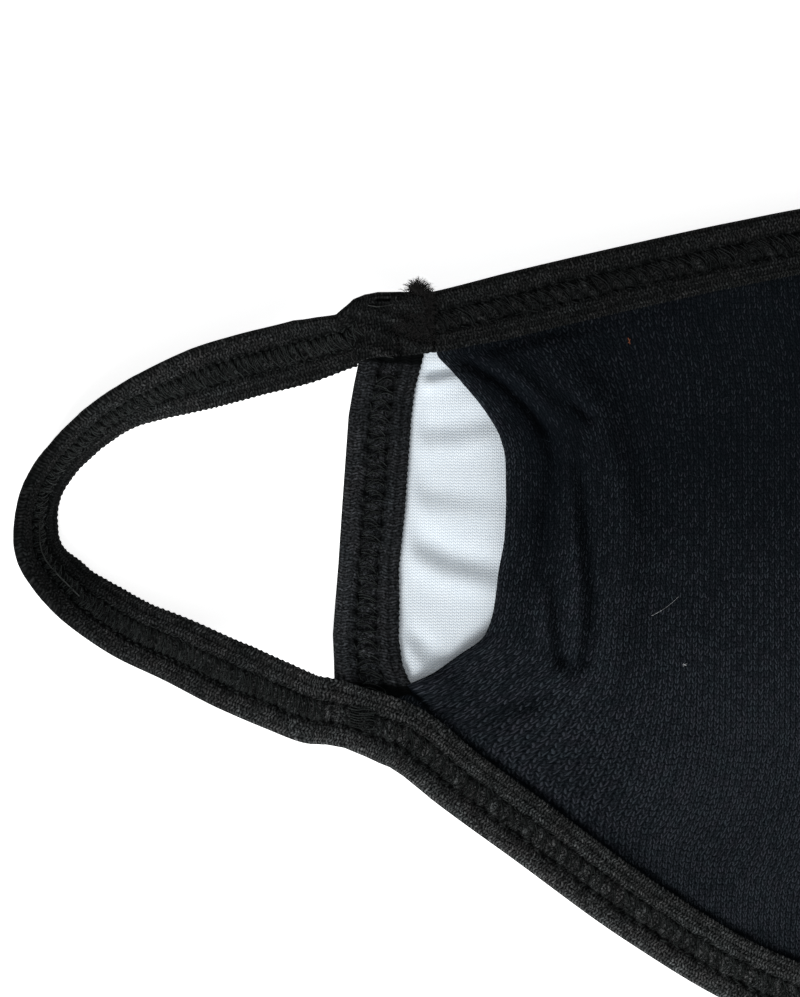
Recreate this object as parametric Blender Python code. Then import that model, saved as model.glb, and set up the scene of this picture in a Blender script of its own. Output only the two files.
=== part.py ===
"""Cloth face mask with a filter pocket, lying front down with its face side up.

The body is two knit panels, a white outer one and a dark lining. A folded elastic strip binds the top and
bottom edges and runs on as the ear loops. Two shorter strips bind the side edges.

Frame: +X runs along the mask, away from the loop with the overlapped end, +Y to the nose and +Z to the face.
Outlines are worked out in plan, with y = 0 halfway up the sides. Every solid is then laid on one cupped
surface, so that all vertical clearances stay as they are named.
"""
import math

import bmesh
import bpy
import numpy as np

MM = 0.001

# Body outline along the folds of the bindings
HALF_WIDTH = 87.8 * MM
SIDE_SLANT = math.radians(3.7)
SIDE_TOP = 33.4 * MM
SIDE_BOTTOM = 35.6 * MM
NOSE_RISE = 16.6 * MM
CHIN_DROP = 47.4 * MM

# Cup of the body and fall of the loops to the table
SIDE_RISE = 7.0 * MM
EDGE_RISE = 5.5 * MM
FLAT_WIDTH_SHARE = 0.30
FLAT_HEIGHT_SHARE = 0.22
LOOP_FALL = 44.0 * MM

# Cloth
OUTER_THICKNESS = 0.7 * MM
LINING_THICKNESS = 0.8 * MM
LAYER_GAP = 0.3 * MM
HEM_EXTRA = 0.6 * MM
HEM_WIDTH = 4.5 * MM
POCKET_REACH = 25.6 * MM
RELIEF_MARGIN = 2.5 * MM
RELIEF_FADE = 6.0 * MM

# Folded elastic
BAND_WIDTH = 10.0 * MM
BAND_THICKNESS = 0.8 * MM
CHANNEL_DEPTH = 0.25 * MM
CHANNEL_START = 0.34
CHANNEL_END = 0.76
CHANNEL_WALL = 0.04
FOLD_ROUNDING = 0.1
FOLD_BLUNTNESS = 0.7
FIT = 0.3 * MM
LOOP_SLOT = 0.3 * MM
TUCK_DEPTH = 5.5 * MM
OVERLAP_LENGTH = 10.5 * MM
CORNER_BLEND = 7.0 * MM
CORNER_OPEN = 3.0 * MM

# Ear loops
LOOP_REACH = 50.9 * MM
LOOP_TILT = math.radians(53.0)
TABLE_GAP = 0.1 * MM

# Mesh density and shading
LINING_COLUMNS = 42
LINING_ROWS = 22
OUTER_COLUMNS = 30
OUTER_ROWS = 20
BINDING_SECTIONS = 28
SIDE_SECTIONS = 7
LOOP_SECTIONS = 36
OVERLAP_SECTIONS = 3
CROWDING = 0.6
CURVE_STEPS = 12
SLOPE_STEP = 0.5 * MM
SHARP_ANGLE = math.radians(40)

MID_Y = (SIDE_TOP + NOSE_RISE - SIDE_BOTTOM - CHIN_DROP) / 2

# Heights above the outer panel's underside, which is zero
LINING_LOW = OUTER_THICKNESS + LAYER_GAP
LINING_HIGH = LINING_LOW + LINING_THICKNESS
STACK_SLOT = (-FIT, LINING_HIGH + FIT)
SIDE_SLOT = (-FIT, OUTER_THICKNESS + FIT)
CORNER_SLOT = (SIDE_SLOT[0] - BAND_THICKNESS - FIT, LINING_HIGH + FIT)
OVERLAP_SLOT = (CORNER_SLOT[0] - BAND_THICKNESS - FIT, CORNER_SLOT[1] + BAND_THICKNESS + FIT)
PANEL_INSET = BAND_THICKNESS + FIT

# Rise of the top edge and drop of the bottom edge, from the side (inward 0) to the centre line (inward 1)
EDGE_SHAPE = [
    {"inward": 0.00, "top": 0.00, "bottom": 0.00},
    {"inward": 0.08, "top": 0.05, "bottom": 0.05},
    {"inward": 0.16, "top": 0.13, "bottom": 0.17},
    {"inward": 0.30, "top": 0.32, "bottom": 0.36},
    {"inward": 0.50, "top": 0.57, "bottom": 0.63},
    {"inward": 0.70, "top": 0.80, "bottom": 0.85},
    {"inward": 0.86, "top": 0.95, "bottom": 0.96},
    {"inward": 1.00, "top": 1.00, "bottom": 1.00},
]

# Pocket mouth: reach of the lining's edge from the side, by height between the panel's edges
MOUTH_SHAPE = [
    {"height": 0.00, "reach": 0.40},
    {"height": 0.18, "reach": 0.39},
    {"height": 0.22, "reach": 0.46},
    {"height": 0.32, "reach": 0.76},
    {"height": 0.38, "reach": 0.89},
    {"height": 0.46, "reach": 0.94},
    {"height": 0.61, "reach": 1.00},
    {"height": 0.72, "reach": 0.95},
    {"height": 0.80, "reach": 0.80},
    {"height": 0.88, "reach": 0.60},
    {"height": 1.00, "reach": 0.53},
]

# Outer edge of an ear loop between its corners: shares of the reach past the side, of half the side, of the tilt
LOOP_SHAPE = [
    {"reach": 0.16, "height": 0.91, "tilt": 0.0},
    {"reach": 0.35, "height": 0.84, "tilt": 0.05},
    {"reach": 0.50, "height": 0.77, "tilt": 0.35},
    {"reach": 0.68, "height": 0.64, "tilt": 0.80},
    {"reach": 0.81, "height": 0.50, "tilt": 0.95},
    {"reach": 0.93, "height": 0.30, "tilt": 1.0},
    {"reach": 0.99, "height": 0.09, "tilt": 1.0},
    {"reach": 0.98, "height": -0.18, "tilt": 0.95},
    {"reach": 0.88, "height": -0.39, "tilt": 0.70},
    {"reach": 0.70, "height": -0.59, "tilt": 0.25},
    {"reach": 0.50, "height": -0.73, "tilt": 0.05},
    {"reach": 0.32, "height": -0.86, "tilt": 0.0},
    {"reach": 0.09, "height": -0.99, "tilt": 0.0},
]

# Folds pressed into the lining behind the hem: heights and half widths as shares of FOLD_HEIGHT and
# FOLD_WIDTH, and the line each one follows as shares of HALF_WIDTH and of half the side
FOLD_HEIGHT = 2.2 * MM
FOLD_WIDTH = 11.0 * MM
LINING_FOLDS = [
    {"name": "pucker", "height": 1.00, "width": 1.00, "line": [(0.66, 0.50), (0.63, 0.05), (0.63, -0.50)]},
    {"name": "upper valley", "height": -0.62, "width": 0.25, "line": [(0.80, 0.70), (0.63, 0.43), (0.63, 0.05)]},
    {"name": "lower valley", "height": -0.55, "width": 0.25, "line": [(0.63, 0.05), (0.62, -0.30), (0.60, -0.60)]},
    {"name": "outer ridge", "height": 0.60, "width": 0.30, "line": [(0.55, 0.45), (0.51, 0.05), (0.55, -0.62)]},
    {"name": "lower dent", "height": -0.35, "width": 0.30, "line": [(0.60, -0.75), (0.68, -0.80), (0.75, -0.86)]},
]

# Gathers of the outer panel beside the side binding, in the same terms
GATHER_HEIGHT = 0.6 * MM
GATHER_WIDTH = 3.6 * MM
OUTER_GATHERS = [
    {"name": "top gather", "height": 0.9, "width": 0.8, "line": [(0.86, 0.72), (0.78, 0.62)]},
    {"name": "upper gather", "height": 1.0, "width": 1.0, "line": [(0.86, 0.36), (0.70, 0.33)]},
    {"name": "middle gather", "height": 1.0, "width": 1.0, "line": [(0.89, -0.06), (0.73, -0.24)]},
    {"name": "lower gather", "height": 0.8, "width": 0.9, "line": [(0.89, -0.55), (0.79, -0.72)]},
]

WHITE_KNIT = {"color": (0.80, 0.83, 0.87, 1.0), "roughness": 0.90}
DARK_KNIT = {"color": (0.005, 0.007, 0.012, 1.0), "roughness": 0.95}
BLACK_ELASTIC = {"color": (0.004, 0.004, 0.004, 1.0), "roughness": 0.85}


def smoothstep(value):
    """Ease from 0 to 1."""
    t = min(max(value, 0.0), 1.0)
    return t * t * (3 - 2 * t)


def blend(low, high, share):
    """Straight mix of two numbers."""
    return low + (high - low) * share


def curve_through(rows, along, column):
    """Monotone cubic through two columns of a table, as a function that runs straight on before it."""
    knots = np.array([row[along] for row in rows])
    values = np.array([row[column] for row in rows])
    steps = np.diff(knots)
    slopes = np.diff(values) / steps
    tangents = np.zeros(len(knots))
    for i in range(1, len(knots) - 1):
        if slopes[i - 1] * slopes[i] > 0:
            tangents[i] = 2 * slopes[i - 1] * slopes[i] / (slopes[i - 1] + slopes[i])
    tangents[0] = slopes[0]

    def value_at(position):
        if position < knots[0]:
            return float(values[0] + (position - knots[0]) * tangents[0])
        p = min(position, knots[-1])
        i = int(min(np.searchsorted(knots, p, side="right") - 1, len(steps) - 1))
        t = (p - knots[i]) / steps[i]
        start = (1 + 2 * t) * (1 - t) ** 2 * values[i] + t * (1 - t) ** 2 * steps[i] * tangents[i]
        end = t * t * (3 - 2 * t) * values[i + 1] + t * t * (t - 1) * steps[i] * tangents[i + 1]
        return float(start + end)

    return value_at


top_share = curve_through(EDGE_SHAPE, "inward", "top")
bottom_share = curve_through(EDGE_SHAPE, "inward", "bottom")
mouth_share = curve_through(MOUTH_SHAPE, "height", "reach")


def top_fold(x):
    """Height of the top binding's fold."""
    return SIDE_TOP + NOSE_RISE * top_share(1 - abs(x) / HALF_WIDTH)


def bottom_fold(x):
    """Height of the bottom binding's fold."""
    return -SIDE_BOTTOM - CHIN_DROP * bottom_share(1 - abs(x) / HALF_WIDTH)


def fold_slope(fold_at, x):
    """Slope of a fold in plan."""
    return (fold_at(x + SLOPE_STEP) - fold_at(x - SLOPE_STEP)) / (2 * SLOPE_STEP)


def side_fold(y):
    """Distance from the centre line to the side binding's fold."""
    return HALF_WIDTH - y * math.tan(SIDE_SLANT)


def cup_height(x, y):
    """Height of the cupped surface, which falls to the table beyond the sides."""
    across = abs(x) / HALF_WIDTH
    high, low = top_fold(x), bottom_fold(x)
    along = abs(y - (high + low) / 2) / ((high - low) / 2)
    side = SIDE_RISE * smoothstep((across - FLAT_WIDTH_SHARE) / (1 - FLAT_WIDTH_SHARE))
    edge = EDGE_RISE * max((along - FLAT_HEIGHT_SHARE) / (1 - FLAT_HEIGHT_SHARE), 0.0) ** 2
    fall = smoothstep((abs(x) - HALF_WIDTH) / LOOP_FALL)
    return (side + edge) * (1 - fall)


def place(x, y, height):
    """Point in the part's frame at a height above the cupped surface."""
    return (x, y - MID_Y, cup_height(x, y) + height)


def inside_distance(x, y):
    """Distance from the nearer of the top and bottom folds, square to it."""
    from_top = (top_fold(x) - y) / math.hypot(1, fold_slope(top_fold, x))
    from_bottom = (y - bottom_fold(x)) / math.hypot(1, fold_slope(bottom_fold, x))
    return min(from_top, from_bottom)


def clear_of_bands(x, y):
    """0 where a binding grips the panels, 1 a little way inside."""
    from_side = side_fold(y) - abs(x)
    nearest = min(inside_distance(x, y), from_side)
    return smoothstep((nearest - BAND_WIDTH - RELIEF_MARGIN) / RELIEF_FADE)


def line_distance(x, y, line):
    """Distance from a point to a broken line given in shares."""
    half_side = (SIDE_TOP + SIDE_BOTTOM) / 2
    corners = [(across * HALF_WIDTH, up * half_side) for across, up in line]
    best = math.inf
    for (ax, ay), (bx, by) in zip(corners, corners[1:]):
        dx, dy = bx - ax, by - ay
        t = ((x - ax) * dx + (y - ay) * dy) / (dx * dx + dy * dy)
        t = min(max(t, 0.0), 1.0)
        best = min(best, math.hypot(x - ax - t * dx, y - ay - t * dy))
    return best


def relief(x, y, rows, height, width):
    """Sum of the soft ridges and valleys of a table, alike on both sides of the centre line."""
    total = 0.0
    for row in rows:
        away = line_distance(abs(x), y, row["line"]) / (row["width"] * width)
        total += row["height"] * height * math.exp(-away * away)
    return total * clear_of_bands(x, y)


def gathers(x, y):
    """Relief of the outer panel."""
    return relief(x, y, OUTER_GATHERS, GATHER_HEIGHT, GATHER_WIDTH)


def lining_lift(x, y):
    """Height of the lining above the outer panel, past the gap between them."""
    return max(relief(x, y, LINING_FOLDS, FOLD_HEIGHT, FOLD_WIDTH), 0.0)


def make_material(name, finish):
    """Cloth material with one colour and roughness."""
    material = bpy.data.materials.new(name)
    material.use_nodes = True
    shader = material.node_tree.nodes["Principled BSDF"]
    shader.inputs["Base Color"].default_value = finish["color"]
    shader.inputs["Roughness"].default_value = finish["roughness"]
    shader.inputs["Metallic"].default_value = 0.0
    material.diffuse_color = finish["color"]
    return material


def elastic_of(name):
    """Material of one length of folded elastic."""
    return make_material(name + "_elastic", BLACK_ELASTIC)


def make_object(name, vertices, faces, material):
    """Closed mesh object with its faces turned out."""
    mesh = bpy.data.meshes.new(name)
    mesh.from_pydata(vertices, [], faces)
    mesh.materials.append(material)
    work = bmesh.new()
    work.from_mesh(mesh)
    bmesh.ops.recalc_face_normals(work, faces=work.faces)
    work.to_mesh(mesh)
    work.free()
    mesh.shade_smooth()
    mesh.set_sharp_from_angle(angle=SHARP_ANGLE)
    made = bpy.data.objects.new(name, mesh)
    bpy.context.collection.objects.link(made)
    return made


def crowded(index, count):
    """Share from 0 to 1 with finer steps towards both ends."""
    t = index / count
    return t - CROWDING * math.sin(2 * math.pi * t) / (2 * math.pi)


def panel(name, columns, rows, edge_at, low_at, high_at, material):
    """Cloth panel between two heights, from one side edge to its mirror image."""
    low, high = [], []
    for row in range(rows + 1):
        share = row / rows
        edge = edge_at(share)
        for column in range(columns + 1):
            x = edge * (1 - 2 * crowded(column, columns))
            top = top_fold(x) - PANEL_INSET * math.hypot(1, fold_slope(top_fold, x))
            bottom = bottom_fold(x) + PANEL_INSET * math.hypot(1, fold_slope(bottom_fold, x))
            y = blend(bottom, top, share)
            low.append(place(x, y, low_at(x, y, edge)))
            high.append(place(x, y, high_at(x, y, edge)))
    width = columns + 1
    count = len(low)
    faces = []
    for row in range(rows):
        for column in range(columns):
            a = row * width + column
            faces.append((a, a + width, a + width + 1, a + 1))
            faces.append((count + a, count + a + 1, count + a + width + 1, count + a + width))
    rim = [column for column in range(columns)]
    rim += [row * width + columns for row in range(rows)]
    rim += [rows * width + column for column in range(columns, 0, -1)]
    rim += [row * width for row in range(rows, 0, -1)]
    for a, b in zip(rim, rim[1:] + rim[:1]):
        faces.append((a, b, count + b, count + a))
    return make_object(name, low + high, faces, material)


def make_outer_panel(material):
    """White outer layer, whose side edges sit in the side bindings."""

    def edge_at(share):
        y = blend(bottom_fold(HALF_WIDTH), top_fold(HALF_WIDTH), share)
        return side_fold(y) - PANEL_INSET / math.cos(SIDE_SLANT)

    def low_at(x, y, edge):
        return gathers(x, y)

    def high_at(x, y, edge):
        return gathers(x, y) + OUTER_THICKNESS

    return panel("outer_panel", OUTER_COLUMNS, OUTER_ROWS, edge_at, low_at, high_at, material)


def make_lining_panel(material):
    """Dark inner layer, whose turned side edges leave the pocket mouths open."""

    def edge_at(share):
        return HALF_WIDTH - POCKET_REACH * mouth_share(share)

    def low_at(x, y, edge):
        return LINING_LOW + gathers(x, y) + lining_lift(x, y)

    def high_at(x, y, edge):
        hem = HEM_EXTRA * smoothstep(1 - (edge - abs(x)) / HEM_WIDTH) * clear_of_bands(x, y)
        return low_at(x, y, edge) + LINING_THICKNESS + hem

    return panel("lining_panel", LINING_COLUMNS, LINING_ROWS, edge_at, low_at, high_at, material)


def strip_profile(slot, width):
    """Section of the folded elastic: fold at 0, two legs with a sewn channel, and the slot between them.

    Points are (inward from the fold, height).
    """
    low, high = slot
    bottom, top = low - BAND_THICKNESS, high + BAND_THICKNESS
    middle, half = (bottom + top) / 2, (top - bottom) / 2
    channel_start, channel_end = CHANNEL_START * width, CHANNEL_END * width
    wall = CHANNEL_WALL * width
    upper = [
        (0.0, middle + FOLD_BLUNTNESS * half),
        (FOLD_ROUNDING * width, top),
        (channel_start - wall, top),
        (channel_start, top - CHANNEL_DEPTH),
        (channel_end, top - CHANNEL_DEPTH),
        (channel_end + wall, top),
        (width, top - CHANNEL_DEPTH),
    ]
    slot_end = [(width, high), (BAND_THICKNESS, high), (BAND_THICKNESS, low), (width, low)]
    lower = [(inward, 2 * middle - height) for inward, height in reversed(upper)]
    return upper + slot_end + lower


def sweep_strip(name, stations, material):
    """Folded elastic through its stations, closed at both ends."""
    vertices, faces = [], []
    for station in stations:
        profile = strip_profile(station["slot"], station.get("width", BAND_WIDTH))
        pivot = sum(station["slot"]) / 2
        sine, cosine = math.sin(station.get("tilt", 0.0)), math.cos(station.get("tilt", 0.0))
        for inward, height in profile:
            turned = inward * cosine + (height - pivot) * sine
            raised = pivot + (height - pivot) * cosine - inward * sine + BAND_WIDTH * sine
            x = station["x"] + station["inward"][0] * turned
            y = station["y"] + station["inward"][1] * turned
            vertices.append(place(x, y, raised))
    size = len(vertices) // len(stations)
    for ring in range(len(stations) - 1):
        for i in range(size):
            a, b = ring * size + i, ring * size + (i + 1) % size
            faces.append((a, b, b + size, a + size))
    faces.append(tuple(range(size)))
    faces.append(tuple(range(len(vertices) - size, len(vertices))))
    return make_object(name, vertices, faces, material)


def mixed_slot(first, second, share):
    """Slot between two others."""
    return (blend(first[0], second[0], share), blend(first[1], second[1], share))


def corner_start(y):
    """Distance from the centre line at which the bindings end and the loops begin."""
    return side_fold(y) + FIT


def inward_from(fold_at, x):
    """Direction in plan from the top or bottom fold into the body, square to the fold."""
    into_body = -1 if fold_at is top_fold else 1
    slope = fold_slope(fold_at, x)
    length = math.hypot(1, slope)
    return (-slope * into_body / length, into_body / length)


def edge_binding(name, fold_at, corner_y, material):
    """Binding along the top or bottom edge, wider inside at the corners for the side bindings' ends."""
    end = corner_start(corner_y)
    side_selvedge = side_fold(corner_y) - BAND_WIDTH / math.cos(SIDE_SLANT) - FIT
    stations = []
    for i in range(BINDING_SECTIONS + 1):
        x = end * (2 * crowded(i, BINDING_SECTIONS) - 1)
        tucked = smoothstep((abs(x) - side_selvedge + CORNER_BLEND) / CORNER_BLEND)
        slot = mixed_slot(STACK_SLOT, CORNER_SLOT, tucked)
        stations.append({"x": x, "y": fold_at(x), "inward": inward_from(fold_at, x), "slot": slot})
    return sweep_strip(name, stations, material)


def side_binding(name, side, material):
    """Binding along a side edge, its ends tucked under the top and bottom bindings."""
    low = bottom_fold(HALF_WIDTH) + TUCK_DEPTH
    high = top_fold(HALF_WIDTH) - TUCK_DEPTH
    inward = (-side * math.cos(SIDE_SLANT), -math.sin(SIDE_SLANT))
    stations = []
    for i in range(SIDE_SECTIONS + 1):
        y = blend(low, high, i / SIDE_SECTIONS)
        stations.append({"x": side * side_fold(y), "y": y, "inward": inward, "slot": SIDE_SLOT})
    return sweep_strip(name, stations, material)


def smooth_path(points, count):
    """Points at even steps along a rounded curve through all of the given ones."""
    chain = [2 * points[0] - points[1]] + list(points) + [2 * points[-1] - points[-2]]
    fine = []
    for before, start, end, after in zip(chain, chain[1:], chain[2:], chain[3:]):
        for t in np.linspace(0.0, 1.0, CURVE_STEPS, endpoint=False):
            pull = (end - before) * t + (2 * before - 5 * start + 4 * end - after) * t ** 2
            fine.append(start + 0.5 * (pull + (3 * start - before - 3 * end + after) * t ** 3))
    fine.append(points[-1])
    fine = np.array(fine)
    steps = np.linalg.norm(np.diff(fine[:, :2], axis=0), axis=1)
    reached = np.concatenate([[0.0], np.cumsum(steps)])
    even = np.linspace(0.0, reached[-1], count)
    return np.column_stack([np.interp(even, reached, fine[:, i]) for i in range(fine.shape[1])])


def loop_points(side):
    """Points of a loop's outer edge from corner to corner, with the tilt at each."""
    half_side = (SIDE_TOP + SIDE_BOTTOM) / 2
    first = corner_start(SIDE_TOP) + FIT
    last = corner_start(-SIDE_BOTTOM) + FIT
    points = [np.array([side * first, top_fold(first), 0.0])]
    for row in LOOP_SHAPE:
        y = row["height"] * half_side
        x = corner_start(y) + FIT + row["reach"] * LOOP_REACH
        points.append(np.array([side * x, y, row["tilt"] * LOOP_TILT]))
    points.append(np.array([side * last, bottom_fold(last), 0.0]))
    return points


def loop_slot(from_top, from_bottom, top_slot):
    """Slot of a loop: as at the corners near its ends, and closed between them."""
    closed_middle = TABLE_GAP + BAND_THICKNESS + LOOP_SLOT / 2
    closed = (closed_middle - LOOP_SLOT / 2, closed_middle + LOOP_SLOT / 2)
    top_share = smoothstep((from_top - CORNER_OPEN) / CORNER_BLEND)
    bottom_share = smoothstep((from_bottom - CORNER_OPEN) / CORNER_BLEND)
    if from_top < from_bottom:
        return mixed_slot(top_slot, closed, top_share)
    return mixed_slot(CORNER_SLOT, closed, bottom_share)


def overlap_stations(side):
    """Loop's end that wraps the top binding's end, from its cut edge to the corner."""
    stations = []
    end = corner_start(SIDE_TOP)
    shift = BAND_THICKNESS + FIT
    for i in range(OVERLAP_SECTIONS + 1):
        x = side * (end - OVERLAP_LENGTH * (1 - i / OVERLAP_SECTIONS))
        inward = inward_from(top_fold, x)
        stations.append({
            "x": x - inward[0] * shift,
            "y": top_fold(x) - inward[1] * shift,
            "inward": inward,
            "slot": OVERLAP_SLOT,
            "width": BAND_WIDTH + shift,
        })
    return stations


def ear_loop(name, side, overlapped, material):
    """Ear loop from the top corner to the bottom one, with its overlapped end where it has one."""
    points = loop_points(side)
    first_inward = inward_from(top_fold, points[0][0])
    last_inward = inward_from(bottom_fold, points[-1][0])
    stations, top_slot, top_width = [], CORNER_SLOT, BAND_WIDTH
    if overlapped:
        stations = overlap_stations(side)
        corner = stations.pop()
        points[0] = np.array([corner["x"], corner["y"], 0.0])
        top_slot, top_width = corner["slot"], corner["width"]
    path = smooth_path(points, LOOP_SECTIONS)
    steps = np.linalg.norm(np.diff(path[:, :2], axis=0), axis=1)
    reached = np.concatenate([[0.0], np.cumsum(steps)])
    for i, (x, y, tilt) in enumerate(path):
        before, after = path[max(i - 1, 0)], path[min(i + 1, len(path) - 1)]
        along = (after - before)[:2]
        along /= np.linalg.norm(along)
        inward = (side * along[1], -side * along[0])
        if i == 0:
            inward = first_inward
        if i == len(path) - 1:
            inward = last_inward
        narrowed = smoothstep(reached[i] / CORNER_BLEND)
        slot = loop_slot(reached[i], reached[-1] - reached[i], top_slot)
        width = blend(top_width, BAND_WIDTH, narrowed)
        stations.append({"x": x, "y": y, "inward": inward, "slot": slot, "tilt": tilt, "width": width})
    return sweep_strip(name, stations, material)


def build():
    """Make every piece of the mask."""
    for old in list(bpy.data.objects):
        bpy.data.objects.remove(old, do_unlink=True)
    white = make_material("white_knit", WHITE_KNIT)
    dark = make_material("dark_knit", DARK_KNIT)
    make_outer_panel(white)
    make_lining_panel(dark)
    edge_binding("top_binding", top_fold, SIDE_TOP, elastic_of("top_binding"))
    edge_binding("bottom_binding", bottom_fold, -SIDE_BOTTOM, elastic_of("bottom_binding"))
    side_binding("side_binding_left", -1, elastic_of("side_binding_left"))
    side_binding("side_binding_right", 1, elastic_of("side_binding_right"))
    ear_loop("ear_loop_left", -1, True, elastic_of("ear_loop_left"))
    ear_loop("ear_loop_right", 1, False, elastic_of("ear_loop_right"))


build()
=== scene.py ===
"""Looks of a cloth face mask that lies front down, seen close up at its left end.

The outlines and the cupped surface are worked out from the same named sizes as the solids. The panels are
laid on it with their folds, and the folded elastic is swept along the edges with its ribs, sewn channel and
looped selvedge. Lengths are in metres. Fabric coordinates (UV) are in millimetres of cloth.
"""
import math

import bpy
import numpy as np
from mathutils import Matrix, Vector


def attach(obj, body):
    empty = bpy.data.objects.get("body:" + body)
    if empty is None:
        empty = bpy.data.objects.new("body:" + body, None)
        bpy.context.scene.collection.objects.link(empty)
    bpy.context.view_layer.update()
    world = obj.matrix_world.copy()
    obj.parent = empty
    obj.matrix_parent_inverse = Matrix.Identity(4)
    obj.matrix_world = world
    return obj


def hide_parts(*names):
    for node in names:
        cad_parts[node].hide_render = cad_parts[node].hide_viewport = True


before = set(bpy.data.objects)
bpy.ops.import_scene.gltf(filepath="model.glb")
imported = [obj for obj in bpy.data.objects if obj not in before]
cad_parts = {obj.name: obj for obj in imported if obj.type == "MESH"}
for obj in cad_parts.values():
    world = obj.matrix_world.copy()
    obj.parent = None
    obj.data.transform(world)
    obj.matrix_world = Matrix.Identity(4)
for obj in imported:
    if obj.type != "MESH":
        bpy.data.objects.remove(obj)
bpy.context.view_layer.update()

BODY = "root"
MM = 0.001


def table(columns, *rows):
    """Rows of values under the named columns."""
    return [dict(zip(columns.split(), row)) for row in rows]


# Body outline along the folds of the bindings
HALF_WIDTH = 87.8 * MM
SIDE_SLANT = math.radians(3.7)
SIDE_TOP = 33.4 * MM
SIDE_BOTTOM = 35.6 * MM
NOSE_RISE = 16.6 * MM
CHIN_DROP = 47.4 * MM
HALF_SIDE = (SIDE_TOP + SIDE_BOTTOM) / 2
MID_Y = (SIDE_TOP + NOSE_RISE - SIDE_BOTTOM - CHIN_DROP) / 2
SLOPE_STEP = 0.5 * MM

# Cup of the body and fall of the loops to the table
SIDE_RISE = 7.0 * MM
EDGE_RISE = 5.5 * MM
FLAT_WIDTH_SHARE = 0.30
FLAT_HEIGHT_SHARE = 0.22
LOOP_FALL = 44.0 * MM

# Cloth
OUTER_THICKNESS = 0.7 * MM
LINING_THICKNESS = 0.8 * MM
LAYER_GAP = 0.3 * MM
HEM_EXTRA = 0.6 * MM
HEM_WIDTH = 4.5 * MM
POCKET_REACH = 25.6 * MM
LINING_LOW = OUTER_THICKNESS + LAYER_GAP
LINING_HIGH = LINING_LOW + LINING_THICKNESS

# Turned edge of the lining, and the crease where it meets the bottom band, which is also painted dark as
# shade
EDGE_ROUND = 0.9 * MM
EDGE_DROP = 0.4 * MM
CREVICE_AT = 0.25 * MM
CREVICE_WIDTH = 0.38 * MM
CREVICE_DEPTH = 0.35 * MM

# Painted light on the lining, coloured lighter below a height, near its hem and most towards the chin,
# where the lamp falls on it more: heights in plan where it begins, and how far it takes to fade in
PAINTED_LIGHT_TOP = 12 * MM
PAINTED_LIGHT_FADE = 42 * MM
PAINTED_LIGHT_HEM = 5 * MM
PAINTED_LIGHT_FOOT = -24 * MM
PAINTED_LIGHT_FOOT_FADE = 14 * MM

# Wales of the lining: how far they follow the mouth, and where they begin and end to run straight
WALE_SHIFT = 13 * MM
WALE_HEM = 2 * MM
WALE_FADE = 40 * MM

# Folded elastic
BAND_WIDTH = 10.0 * MM
BAND_THICKNESS = 0.8 * MM
FIT = 0.3 * MM
LOOP_SLOT = 0.3 * MM
TUCK_DEPTH = 5.5 * MM
OVERLAP_LENGTH = 10.5 * MM
CORNER_BLEND = 7.0 * MM
CORNER_OPEN = 3.0 * MM
CORNER_TURN = 4.0 * MM
LOOP_REACH = 50.9 * MM
LOOP_TILT = math.radians(53.0)
TABLE_GAP = 0.1 * MM
PANEL_INSET = BAND_THICKNESS + FIT
STACK_SLOT = (-FIT, LINING_HIGH + FIT)
SIDE_SLOT = (-FIT, OUTER_THICKNESS + FIT)
CORNER_SLOT = (SIDE_SLOT[0] - BAND_THICKNESS - FIT, LINING_HIGH + FIT)
OVERLAP_SLOT = (CORNER_SLOT[0] - BAND_THICKNESS - FIT, CORNER_SLOT[1] + BAND_THICKNESS + FIT)
OVERLAP_TOP = OVERLAP_SLOT[1] + BAND_THICKNESS

# The photograph's frame on the table
IMAGE_WIDTH_PX = 800
IMAGE_HEIGHT_PX = 997
PX_PER_MM = 6.4
CENTRE_LINE_PX = 905
MID_SIDE_PX = 520

EDGE_SHAPE = table(
    "inward top bottom",
    (0.00, 0.00, 0.00),
    (0.08, 0.05, 0.05),
    (0.16, 0.13, 0.17),
    (0.30, 0.32, 0.36),
    (0.50, 0.57, 0.63),
    (0.70, 0.80, 0.85),
    (0.86, 0.95, 0.96),
    (1.00, 1.00, 1.00),
)

# Mouth of the pocket, finer than in the solids, with its lower end drawn against the side binding
MOUTH_SHAPE = table(
    "height reach",
    (0.00, 0.31),
    (0.10, 0.32),
    (0.16, 0.35),
    (0.19, 0.42),
    (0.25, 0.575),
    (0.30, 0.705),
    (0.36, 0.868),
    (0.41, 0.918),
    (0.48, 0.948),
    (0.55, 0.986),
    (0.62, 0.994),
    (0.68, 0.990),
    (0.72, 0.960),
    (0.76, 0.888),
    (0.85, 0.665),
    (0.89, 0.57),
    (1.00, 0.53),
)

LOOP_SHAPE = table(
    "reach height tilt",
    (0.16, 0.91, 0.0),
    (0.35, 0.84, 0.05),
    (0.50, 0.77, 0.35),
    (0.68, 0.64, 0.80),
    (0.81, 0.50, 0.95),
    (0.93, 0.30, 1.0),
    (0.99, 0.09, 1.0),
    (0.98, -0.18, 0.95),
    (0.88, -0.39, 0.70),
    (0.70, -0.59, 0.25),
    (0.50, -0.73, 0.05),
    (0.32, -0.86, 0.0),
    (0.09, -0.99, 0.0),
)

# How far a band's edges stray inwards in millimetres, at shares of a side's length, else at millimetres
SIDE_TRIM = table(
    "along fold selvedge",
    (0.00, 0.40, 2.60),
    (0.09, 0.25, 2.20),
    (0.14, 0.00, 0.70),
    (0.21, -0.45, -0.15),
    (0.30, -0.40, -0.40),
    (0.40, -0.30, -0.85),
    (0.55, -0.30, -0.50),
    (0.80, -0.20, -0.45),
    (0.88, 0.30, -0.20),
    (0.94, 0.80, 0.50),
    (1.00, 1.00, 1.10),
)

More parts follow.
